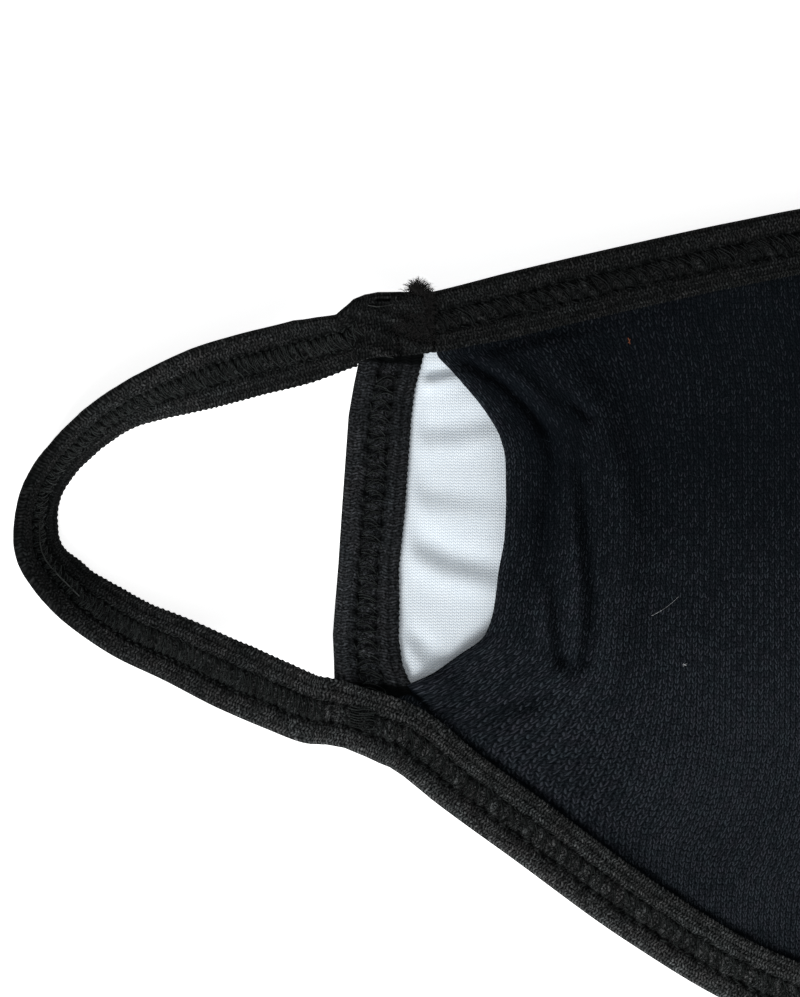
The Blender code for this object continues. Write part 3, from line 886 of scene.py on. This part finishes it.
def mixed_slot(first, second, share):
    """Slot between two others."""
    return (blend(first[0], second[0], share), blend(first[1], second[1], share))


def corner_start(y):
    """Distance from the centre line at which the bindings end and the loops begin."""
    return side_fold(y) + FIT


def edge_stations(fold_at, corner_y, count=90):
    """Stations of the top or bottom binding from left to right."""
    end = corner_start(corner_y) + FIT / 2
    side_selvedge = side_fold(corner_y) - BAND_WIDTH / math.cos(SIDE_SLANT) - FIT
    rows = []
    for x in np.linspace(-end, end, count):
        tucked = smoothstep((abs(x) - side_selvedge + CORNER_BLEND) / CORNER_BLEND)
        slot = mixed_slot(STACK_SLOT, CORNER_SLOT, tucked)
        rows.append(station(x, float(fold_at(x)), inward_from(fold_at, x), slot))
    return np.array(rows)


def side_stations(side, count=40):
    """Stations of a side binding from bottom to top."""
    low = bottom_fold(HALF_WIDTH) + TUCK_DEPTH
    high = top_fold(HALF_WIDTH) - TUCK_DEPTH
    inward = (-side * math.cos(SIDE_SLANT), -math.sin(SIDE_SLANT))
    heights = np.linspace(low, high, count)
    return np.array([station(side * side_fold(y), y, inward, SIDE_SLOT) for y in heights])


def reached_at(points):
    """Distance in plan along a row of points, at each of them."""
    steps = np.linalg.norm(np.diff(points[:, :2], axis=0), axis=1)
    return np.concatenate([[0.0], np.cumsum(steps)])


def smooth_path(points, count):
    """Points at even steps along a rounded curve through all of the given ones."""
    chain = [2 * points[0] - points[1], *points, 2 * points[-1] - points[-2]]
    fine = []
    for before, start, end, after in zip(chain, chain[1:], chain[2:], chain[3:]):
        for t in np.linspace(0.0, 1.0, 12, endpoint=False):
            pull = (end - before) * t + (2 * before - 5 * start + 4 * end - after) * t ** 2
            fine.append(start + 0.5 * (pull + (3 * start - before - 3 * end + after) * t ** 3))
    fine.append(points[-1])
    fine = np.array(fine)
    reached = reached_at(fine)
    even = np.linspace(0.0, reached[-1], count)
    return np.column_stack([np.interp(even, reached, fine[:, i]) for i in range(fine.shape[1])])


def loop_points(side):
    """Points of a loop's outer edge from corner to corner, with the tilt at each."""
    first = corner_start(SIDE_TOP) + FIT / 2
    last = corner_start(-SIDE_BOTTOM) + FIT / 2
    points = [np.array([side * first, float(top_fold(first)), 0.0])]
    for row in LOOP_SHAPE:
        y = row["height"] * HALF_SIDE
        x = corner_start(y) + FIT + row["reach"] * LOOP_REACH
        points.append(np.array([side * x, y, row["tilt"] * LOOP_TILT]))
    points.append(np.array([side * last, float(bottom_fold(last)), 0.0]))
    return points


def loop_slot(from_top, from_bottom, top_slot):
    """Slot of a loop: as at the corners near its ends, and closed between them."""
    closed = (TABLE_GAP + BAND_THICKNESS, TABLE_GAP + BAND_THICKNESS + LOOP_SLOT)
    corner = top_slot if from_top < from_bottom else CORNER_SLOT
    from_corner = min(from_top, from_bottom) - CORNER_OPEN
    return mixed_slot(corner, closed, smoothstep(from_corner / CORNER_BLEND))


def overlap_stations(side):
    """Loop's end that wraps the top binding's end, from its cut edge to the corner."""
    rows = []
    end = corner_start(SIDE_TOP) + FIT / 2
    shift = BAND_THICKNESS + FIT
    for share in np.linspace(0, 1, 9):
        x = side * (end - OVERLAP_LENGTH * (1 - share))
        inward = inward_from(top_fold, x)
        out_x, out_y = x - inward[0] * shift, float(top_fold(x)) - inward[1] * shift
        rows.append(station(out_x, out_y, inward, OVERLAP_SLOT, BAND_WIDTH + shift))
    return rows


def loop_stations(side, overlapped, count=120):
    """Stations of an ear loop from the top corner to the bottom one."""
    points = loop_points(side)
    first_inward = inward_from(top_fold, points[0][0])
    last_inward = inward_from(bottom_fold, points[-1][0])
    rows, top_slot, top_width = [], CORNER_SLOT, BAND_WIDTH
    if overlapped:
        rows = overlap_stations(side)
        corner = rows.pop()
        points[0] = np.array([corner[0], corner[1], 0.0])
        top_slot, top_width = OVERLAP_SLOT, corner[6]
    path = smooth_path(points, count)
    reached = reached_at(path)
    for i, (x, y, tilt) in enumerate(path):
        before, after = path[max(i - 1, 0)], path[min(i + 1, count - 1)]
        along = (after - before)[:2]
        along /= np.linalg.norm(along)
        inward = np.array([side * along[1], -side * along[0]])
        inward = blend(np.array(first_inward), inward, smoothstep(reached[i] / CORNER_TURN))
        inward = blend(np.array(last_inward), inward, smoothstep((reached[-1] - reached[i]) / CORNER_TURN))
        inward /= np.linalg.norm(inward)
        width = blend(top_width, BAND_WIDTH, smoothstep(reached[i] / CORNER_BLEND))
        slot = loop_slot(reached[i], reached[-1] - reached[i], top_slot)
        rows.append(station(x, y, inward, slot, width, tilt))
    return np.array(rows)


def between_rows(rows, column, s, unit):
    """Value of a column at distances along a band."""
    return np.interp(s, [row["along"] * unit for row in rows], [row[column] for row in rows])


class Band:
    """Folded elastic along its stations, with its seams, and the trim of its edges if it has one."""

    def __init__(self, rows, stitch, slant, seed, light, trim=None, trim_unit=MM, bare=0.0, tucked=None):
        self.rows = rows
        self.reached = reached_at(rows[:, :2] + rows[:, 2:4] * rows[:, 6:7] / 2)
        self.length = self.reached[-1]
        self.stitch = self.length / round(self.length / stitch)
        self.slant = slant
        self.seed = seed
        self.draw = np.random.default_rng(seed)
        cells = int(self.length / self.stitch) + 20
        self.cell_height = self.draw.uniform(0.45, 1.1, cells)
        self.cell_bend = self.draw.uniform(-0.15, 0.15, cells)
        self.light = light
        self.tucked = tucked
        self.bare = bare
        self.trim = trim
        self.trim_unit = self.length if trim_unit is None else trim_unit

    def at(self, s):
        """Station values at distances along the band."""
        return [np.interp(s, self.reached, self.rows[:, i]) for i in range(self.rows.shape[1])]

    def trimmed(self, s, share):
        """Plan shift of a point inwards, from the trim table."""
        if self.trim is None:
            return 0.0
        fold = between_rows(self.trim, "fold", s, self.trim_unit)
        return blend(fold, between_rows(self.trim, "selvedge", s, self.trim_unit), share) * MM

    def seams(self, share, s):
        """Distance along the seam in cells, number of the cell, and share across between the needles."""
        between = np.clip((share - FIRST_NEEDLE) / (SECOND_NEEDLE - FIRST_NEEDLE), 0, 1)
        bowed = 0.25 * arc(between)
        run = s / self.stitch + self.slant * between + bowed + 4
        index = np.clip(np.floor(run).astype(int), 0, len(self.cell_height) - 1)
        return run, index, between

    def relief(self, share, s):
        """Raised and sunk forms of a face, by share of the width and distance along."""
        fold_zone = FOLD_RISE * arc(np.clip(share / FIRST_NEEDLE, 0, 1)) ** 0.7
        run, index, between = self.seams(share, s)
        wander = 0.010 * np.sin(s / self.stitch * 1.7 + self.seed)
        needles = hill(share, FIRST_NEEDLE + wander, 0.040)
        needles = needles + 0.8 * hill(share, SECOND_NEEDLE + wander, 0.034)
        pull = 0.65 + 0.35 * np.cos(run * 2 * math.pi)
        through = run - np.floor(run)
        through = np.clip(through + self.cell_bend[index] * arc(through), 0, 1)
        puff = arc(between) ** 0.5 * arc(through) ** 0.6
        cells = CELL_RISE * puff * self.cell_height[index] - CELL_FLOOR
        edge_zone = np.clip((share - SECOND_NEEDLE) / (EDGE_GROOVE - SECOND_NEEDLE), 0, 1)
        ribs = RIB_RISE * arc(edge_zone) - GROOVE_DEPTH * hill(share, EDGE_GROOVE, 0.028)
        uneven = 0.07 * MM * waves(share * BAND_WIDTH, s, self.seed, 4 * MM, 6)
        uneven += 0.03 * MM * waves(share * BAND_WIDTH, s, self.seed + 50, 1.4 * MM, 6)
        inside = (between > 0) & (between < 1)
        sewn = ribs - NEEDLE_DEPTH * needles * pull + np.where(inside, cells, 0.0)
        if self.bare:
            cut_line = CUT_DEPTH * hill(s, CUT_LINE_AT, 0.3 * MM) * smoothstep((share - 0.5) / 0.1)
            in_slit = smoothstep((SLIT_LENGTH / 2 + 0.3 * MM - np.abs(s - SLIT_AT)) / (0.5 * MM))
            puckers = PUCKER_RISE * np.sin(share * 21 + s / MM * 0.9)
            bare = puckers - cut_line - SLIT_DEPTH * hill(share, SLIT_SHARE, 0.03) * in_slit + uneven
            sewn = blend(bare, sewn, self.past_bare(s))
        return fold_zone + BEAD_RISE * hill(share, BEAD_AT, 0.05) + sewn + uneven

    def past_bare(self, s):
        """0 on the unsewn end, 1 beyond it."""
        return smoothstep((s - self.bare) / (1.5 * MM))

    def points(self, s, share, level, edge=0.0):
        """Points at shares of the width, and at levels from the lower face, -1, to the upper one, 1."""
        x, y, ix, iy, low, high, width, tilt = self.at(s)
        height = level * ((high - low) / 2 + BAND_THICKNESS)
        inward = share * width + edge
        sine, cosine = np.sin(tilt), np.cos(tilt)
        turned = inward * cosine + height * sine + self.trimmed(s, share)
        raised = (low + high) / 2 + height * cosine - inward * sine + BAND_WIDTH * sine
        return place(x + ix * turned, y + iy * turned, raised)

    def face_points(self, s, share, face, lift=0.0):
        """Points on the upper (1) or lower (-1) face, with its relief and rounded fold."""
        _, _, _, _, low, high, width, _ = self.at(s)
        half = (high - low) / 2 + BAND_THICKNESS
        radius = np.minimum(half, FOLD_RADIUS)
        into_round = np.clip(1 - share * width / radius, 0, 1)
        rounding = np.sqrt(np.maximum(1 - into_round ** 2, 0))
        fold_flat = np.clip(1 - radius / half, 0, 1)
        rounding = fold_flat + (1 - fold_flat) * rounding
        thin_edge = THIN_EDGE * smoothstep((share - EDGE_GROOVE) / (1 - EDGE_GROOVE))
        raised = (self.relief(share, s) - thin_edge + lift) * smoothstep(share * width / FOLD_FADE)
        level = face * (rounding + raised / half)
        picot_run = np.cos(s / PICOT_PITCH * 2 * math.pi)
        picot = PICOT_REACH * (0.3 + 0.7 * picot_run) * smoothstep((share - BEAD_AT) / (1 - BEAD_AT))
        return self.points(s, share, level, picot)

    def painted_light_at(self, s):
        """Painted light and shade of the elastic at distances along the band."""
        return between_rows(self.light, "light", s, MM) if isinstance(self.light, list) else self.light

    def form(self, s, share):
        """Painted shade in sunk forms and at the tucked ends, scaled by the band's painted light, and share
        of tangled thread, for the material.
        """
        painted_lightness = np.clip((self.relief(share, s) + DARKEST) / (DARKEST + LIGHTEST), 0.06, 1.15)
        _, _, between = self.seams(share, s)
        tangled = smoothstep(between * (1 - between) * 8)
        if self.bare:
            tangled = tangled * self.past_bare(s)
        # Painted shadow where the band's ends tuck under the other bands.
        if self.tucked:
            lower, upper = self.tucked
            outside_painted_shadow = smoothstep((s - lower) / SHADOW_FADE)
            outside_painted_shadow = outside_painted_shadow * smoothstep((self.length - upper - s) / SHADOW_FADE)
            painted_lightness = painted_lightness * blend(0.05, 1.0, outside_painted_shadow)
        return np.stack(np.broadcast_arrays(painted_lightness * self.painted_light_at(s), tangled), axis=-1)


def band_object(name, band, material):
    """Closed sweep of the folded elastic, fine on its face side."""
    count = int(band.length / (PICOT_PITCH / 4)) + 1
    s = np.linspace(0, band.length, count)
    fold = (1 - np.cos(np.linspace(0, math.pi / 2, 5))) * 0.12
    upper = np.concatenate([fold[:-1], np.linspace(0.12, 1.0, 34)])
    lower = np.concatenate([fold[1:-1], np.linspace(0.12, 1.0, 12)])[::-1]
    _, _, _, _, low, high, width, _ = band.at(s)
    half_slot = (high - low) / 2
    inner = half_slot / (half_slot + BAND_THICKNESS)
    wall = BAND_THICKNESS / width
    dim = np.tile([0.5, 0.0], (count, 1))
    sections = [(share, band.face_points(s, share, 1), band.form(s, share)) for share in upper]
    for share, level in ((1.0, inner), (wall, inner), (wall, -inner), (1.0, -inner)):
        sections.append((1.0, band.points(s, share, level), dim))
    sections += [(share, band.face_points(s, share, -1), band.form(s, share)) for share in lower]
    across, rings, forms = zip(*sections)
    grid = np.stack(rings, axis=1)
    uv = np.zeros((*grid.shape[:2], 2))
    uv[..., 0] = np.array(across)[None, :] * BAND_WIDTH / MM
    uv[..., 1] = s[:, None] / MM
    return tube_object(name, grid, uv, material, np.stack(forms, axis=1))


# Threads and fibres

def stitches_of(band):
    """Numbers of a band's stitches, from its unsewn end on."""
    return range(int(band.bare / band.stitch) + 1, int(band.length / band.stitch) - 1)


def stitch_paths(band, share):
    """Short thread arcs along a needle line, one for each stitch."""
    paths = []
    t = np.linspace(0, 1, 6)
    for k in stitches_of(band):
        length = band.draw.uniform(0.25, 0.55)
        s = (k + 0.5 + length * (t - 0.5) + band.draw.uniform(-0.12, 0.12)) * band.stitch
        side_way = share + band.draw.uniform(-0.02, 0.02) + band.draw.uniform(-0.05, 0.05) * (t - 0.5)
        lift = (0.14 * arc(t) - 0.06) * MM
        surface = band.relief(side_way, s)
        paths.append(band.face_points(s, side_way, 1, lift - 0.40 * np.minimum(surface, 0)))
    return paths


def looper_paths(band):
    """Threads that cross between the needle lines and back, one pair for each stitch."""
    paths = []
    t = np.linspace(0, 1, 8)
    for k in stitches_of(band):
        for strand in range(4):
            turn = 1 if strand % 2 else -1
            start = k + 0.22 * (strand // 2) + band.draw.uniform(-0.10, 0.10)
            bow = 0.30 * band.draw.uniform(0.4, 1.3) * arc(t)
            along = start + turn * (0.36 * t + 0.12) + bow - band.slant * t
            s = np.clip(along * band.stitch, 0, band.length)
            first = FIRST_NEEDLE + band.draw.uniform(0.0, 0.05)
            last = SECOND_NEEDLE - band.draw.uniform(0.0, 0.08)
            lift = (0.07 + 0.05 * np.sin(t * math.pi * 2 + strand)) * MM
            paths.append(band.face_points(s, blend(first, last, t), 1, lift))
    return paths


def curled_paths(draw, roots, heading, spread, length, lift, points=5):
    """Loose fibres from their roots: headings in plan about a mean, curling, and rising in an arc."""
    many = len(roots)
    t = np.linspace(0, 1, points)
    turn = heading + draw.uniform(-spread, spread, many)
    curl = draw.uniform(-1.6, 1.6, many)
    angle = turn[:, None] + curl[:, None] * t
    step = (draw.uniform(*length, many) / (points - 1))[:, None]
    strides = np.stack([np.cos(angle), np.sin(angle)], axis=-1) * step[..., None]
    plan = np.zeros((many, points, 2))
    plan[:, 1:] = np.cumsum(strides[:, 1:], axis=1)
    rise = draw.uniform(*lift, many)[:, None] * np.sin(t * math.pi * 0.8)
    return roots[:, None, :] + np.concatenate([plan, rise[..., None]], axis=-1)


def make_lining_fuzz(material):
    """Short fibres all over the lining."""
    draw = np.random.default_rng(21)
    many = 2400
    share = draw.uniform(0.14, 0.90, many)
    edge = lining_mouth(share)
    x = edge * draw.uniform(-1, 1, many)
    top, bottom = top_fold(x) - PANEL_INSET, bottom_fold(x) + PANEL_INSET
    y = blend(bottom, top, share)
    _, high, _ = lining_heights(x, y, edge)
    roots = place(x, y, high - 0.02 * MM)
    paths = curled_paths(draw, roots, math.pi / 2, math.pi, (0.4 * MM, 1.3 * MM), (0.02 * MM, 0.18 * MM), 4)
    return threads_object("lining_fuzz", paths, draw.uniform(0.006, 0.012, (many, 1)) * MM, 3, material)


def lying_fibre(line, bow):
    """Fibre that lies on the lining between two pixels of the photograph, bowed to one side."""
    (ax, ay), (bx, by) = line
    t = np.linspace(0, 1, 9)
    px = blend(ax, bx, t) + bow * arc(t)
    py = blend(ay, by, t) + bow * arc(t)
    x, y = px_point(px, py)
    _, high, _ = lining_heights(x, y, np.full(len(t), HALF_WIDTH - POCKET_REACH))
    return place(x, y, high + 0.16 * MM + 0.12 * MM * arc(t))


def make_lint(material):
    """Pale lint hair and a white speck on the lining."""
    paths = [lying_fibre(((652, 616), (679, 597)), 1.2), lying_fibre(((684, 664), (687, 666)), 0.6),
             lying_fibre(((684, 667), (687, 664)), -0.4), lying_fibre(((683, 665), (687, 665)), 0.3)]
    radius = np.array([0.018, 0.026, 0.026, 0.022])[:, None] * MM
    return threads_object("lint_hairs", paths, radius, 5, material)


def make_orange_speck(material):
    """Orange fluff near the top binding."""
    paths = [lying_fibre(((628, 338), (630, 344)), 0.5), lying_fibre(((630, 339), (628, 343)), 0.4)]
    return threads_object("orange_speck", paths, 0.05 * MM, 5, material)


def make_frayed_end(material):
    """Tuft in two lobes, and fuzz over the end where the strip was cut."""
    draw = np.random.default_rng(31)
    clumps, many = 26, 1100
    clump_x = 430 - 32 * draw.uniform(0, 1, clumps) ** 1.5
    clump_y = draw.uniform(299, 343, clumps)
    of_clump = draw.integers(0, clumps, many)
    px = np.minimum(clump_x[of_clump] + draw.normal(0, 2.6, many), 432)
    py = clump_y[of_clump] + draw.normal(0, 3.2, many)
    roots = place(*px_point(px, py), OVERLAP_TOP - 0.35 * MM)
    line = curled_paths(draw, roots, 0.2, math.pi, (0.6 * MM, 1.5 * MM), (0.1 * MM, 0.7 * MM), 6)
    tuft_count = 900
    lobe = draw.uniform(0, 1, tuft_count) < 0.62
    px = np.where(lobe, draw.normal(418.5, 2.1, tuft_count), draw.uniform(421, 430.5, tuft_count))
    py = np.where(lobe, 295, 298) + draw.uniform(-1, 4, tuft_count)
    roots = place(*px_point(px, py), OVERLAP_TOP - draw.uniform(0.2, 2.5, tuft_count) * MM)
    tuft = curled_paths(draw, roots, 1.65, 0.55, (0.9 * MM, 2.8 * MM), (0.0, 1.0 * MM), 6)
    shorter = np.where(lobe, 1.0, 0.62)[:, None, None]
    tuft = roots[:, None, :] + (tuft - roots[:, None, :]) * shorter
    paths = np.concatenate([line, tuft])
    radius = draw.uniform(0.016, 0.036, (len(paths), 1)) * MM
    return threads_object("cut_end_fray", paths, radius, 4, material)


def make_bar_tack(material):
    """Short rows of thread sewn over the bottom corner."""
    t = np.linspace(0, 1, 9)
    paths = []
    draw = np.random.default_rng(41)
    for row in range(9):
        px = blend(350, 374, t) + draw.uniform(-2, 2)
        py = 704 + row * 2.5 + 1.2 * np.sin(t * math.pi * draw.uniform(1, 2)) + 0.14 * (px - 347)
        height = CORNER_SLOT[1] + BAND_THICKNESS + (0.25 * arc(t) + 0.04) * MM
        paths.append(place(*px_point(px, py), height))
    return threads_object("bar_tack", paths, 0.085 * MM, 6, material)


def make_worn_threads(material, loop):
    """Paler threads under the slit, across the side binding's top and in the loop's channel."""
    t = np.linspace(0, 1, 13)
    shares = (0.0, 0.25, 0.5, 0.72, 0.85, 1.0)
    slit_x = np.interp(t, shares, (368.5, 377, 385, 391, 395, 396.5))
    slit_y = np.interp(t, shares, (306.5, 308, 307, 306, 302.5, 298))
    paths = [place(*px_point(slit_x, slit_y), OVERLAP_TOP + 0.10 * MM)]
    side_x, side_y = blend(361, 393, t), blend(361, 358, t) - 3.0 * arc(t)
    paths.append(place(*px_point(side_x, side_y), SIDE_SLOT[1] + BAND_THICKNESS + 0.48 * MM))
    s = blend(69 * MM, 84 * MM, t)
    share = 0.46 + 0.015 * np.sin(t * 9)
    surface = loop.relief(share, s)
    paths.append(loop.face_points(s, share, 1, 0.10 * MM - np.minimum(surface, 0)))
    return threads_object("worn_threads", paths, 0.10 * MM, 6, material)


# Camera and light

def add_camera():
    """Camera straight above the middle of the photograph's frame."""
    x, y = px_point(IMAGE_WIDTH_PX / 2, IMAGE_HEIGHT_PX / 2)
    data = bpy.data.cameras.new("camera")
    distance = 1.5
    data.sensor_fit = "HORIZONTAL"
    data.sensor_width = 36.0
    data.lens = data.sensor_width * distance / (IMAGE_WIDTH_PX / PX_PER_MM * MM)
    data.clip_start = 0.1
    data.clip_end = 10.0
    camera = add_object("camera", data)
    camera.location = (x, y - MID_Y, distance + 6 * MM)
    bpy.context.scene.camera = camera


def add_light(name, location, target, size, power):
    """Square soft light."""
    data = bpy.data.lights.new(name, "AREA")
    data.shape = "SQUARE"
    data.size = size
    data.energy = power
    lamp = add_object(name, data)
    lamp.location = location
    lamp.rotation_euler = (Vector(target) - Vector(location)).to_track_quat("-Z", "Y").to_euler()


def add_studio():
    """Pale table, even sky light and a soft light from beyond the chin, on the shown loop's side."""
    world = bpy.data.worlds.new("studio")
    world.use_nodes = True
    background = world.node_tree.nodes["Background"]
    background.inputs["Color"].default_value = (1.0, 1.0, 1.0, 1.0)
    background.inputs["Strength"].default_value = 0.39
    bpy.context.scene.world = world
    bpy.context.scene.view_settings.view_transform = "Standard"
    add_light("key", (-0.26, -0.40, 0.34), (-0.03, 0.0, 0.0), 0.24, 3.3)
    mesh = bpy.data.meshes.new("table")
    reach = 1.5
    corners = [(-reach, -reach, 0), (reach, -reach, 0), (reach, reach, 0), (-reach, reach, 0)]
    mesh.from_pydata(corners, [], [(0, 1, 2, 3)])
    mesh.materials.append(floor_material())
    table = add_object("table", mesh)


def settle(piece, node=None):
    """Let a piece ride on the one body, and stand for a solid if one is named."""
    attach(piece, BODY)
    if node:
        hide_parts(node)


add_camera()
add_studio()

knit_dark = lining_material()
knit_white = outer_material()
elastic = elastic_material("strip_elastic", 0.60, 0.6, (0.185, 0.207, 0.210), 0.85)
side_elastic = elastic_material("side_elastic", 1.20, 0.7, (0.124, 0.143, 0.158), 0.62)
thread = thread_material("stitch_thread", (0.026, 0.030, 0.029), 0.5)
shaded_thread = thread_material("shaded_thread", (0.013, 0.015, 0.015), 0.6)
fray = thread_material("frayed_thread", (0.030, 0.029, 0.029), 0.8)
fluff = thread_material("cotton_fluff", (0.060, 0.075, 0.090), 0.9)
worn = thread_material("worn_thread", (0.044, 0.048, 0.046), 0.7)
lint = thread_material("pale_lint", (0.75, 0.78, 0.80), 0.6)

outer = make_outer(knit_white)
lining = make_lining(knit_dark)
fuzz = make_lining_fuzz(fluff)
hairs = make_lint(lint)
speck = make_orange_speck(thread_material("orange_fluff", (0.30, 0.10, 0.05), 0.8))
settle(outer, "outer_panel")
settle(lining, "lining_panel")
for fibres in (fuzz, hairs, speck):
    settle(fibres)

bands = {
    "top_binding": Band(edge_stations(top_fold, SIDE_TOP), BINDING_STITCH, -0.6, 11, TOP_PAINTED_LIGHT, TOP_TRIM),
    "bottom_binding": Band(edge_stations(bottom_fold, -SIDE_BOTTOM), BINDING_STITCH, 0.4, 12, BOTTOM_PAINTED_LIGHT,
                           BOTTOM_TRIM),
    "side_binding_left": Band(side_stations(-1), SIDE_STITCH, 0.0, 13, SIDE_PAINTED_LIGHT, SIDE_TRIM, None,
                              tucked=(LOWER_PAINTED_SHADOW, UPPER_PAINTED_SHADOW)),
    "side_binding_right": Band(side_stations(1), SIDE_STITCH, 0.0, 14, SIDE_PAINTED_LIGHT,
                               tucked=(LOWER_PAINTED_SHADOW, LOWER_PAINTED_SHADOW)),
    "ear_loop_left": Band(loop_stations(-1, True), LOOP_STITCH, 0.5, 15, LOOP_PAINTED_LIGHT, LOOP_TRIM,
                          bare=OVERLAP_LENGTH),
    "ear_loop_right": Band(loop_stations(1, False), LOOP_STITCH, 0.5, 16, LOOP_PAINTED_LIGHT),
}
for node, band in bands.items():
    band_look = side_elastic if node.startswith("side") else elastic
    settle(band_object(node + "_elastic", band, band_look), node)
    paths = stitch_paths(band, FIRST_NEEDLE) + stitch_paths(band, SECOND_NEEDLE)
    sewn_with = shaded_thread if node.startswith("top") else thread
    loopers = threads_object(node + "_loopers", looper_paths(band), LOOPER_RADIUS, 4, sewn_with)
    stitches = threads_object(node + "_stitches", paths, THREAD_RADIUS, 5, sewn_with)
    settle(loopers)
    settle(stitches)

settle(make_frayed_end(fray))
settle(make_bar_tack(thread))
settle(make_worn_threads(worn, bands["ear_loop_left"]))
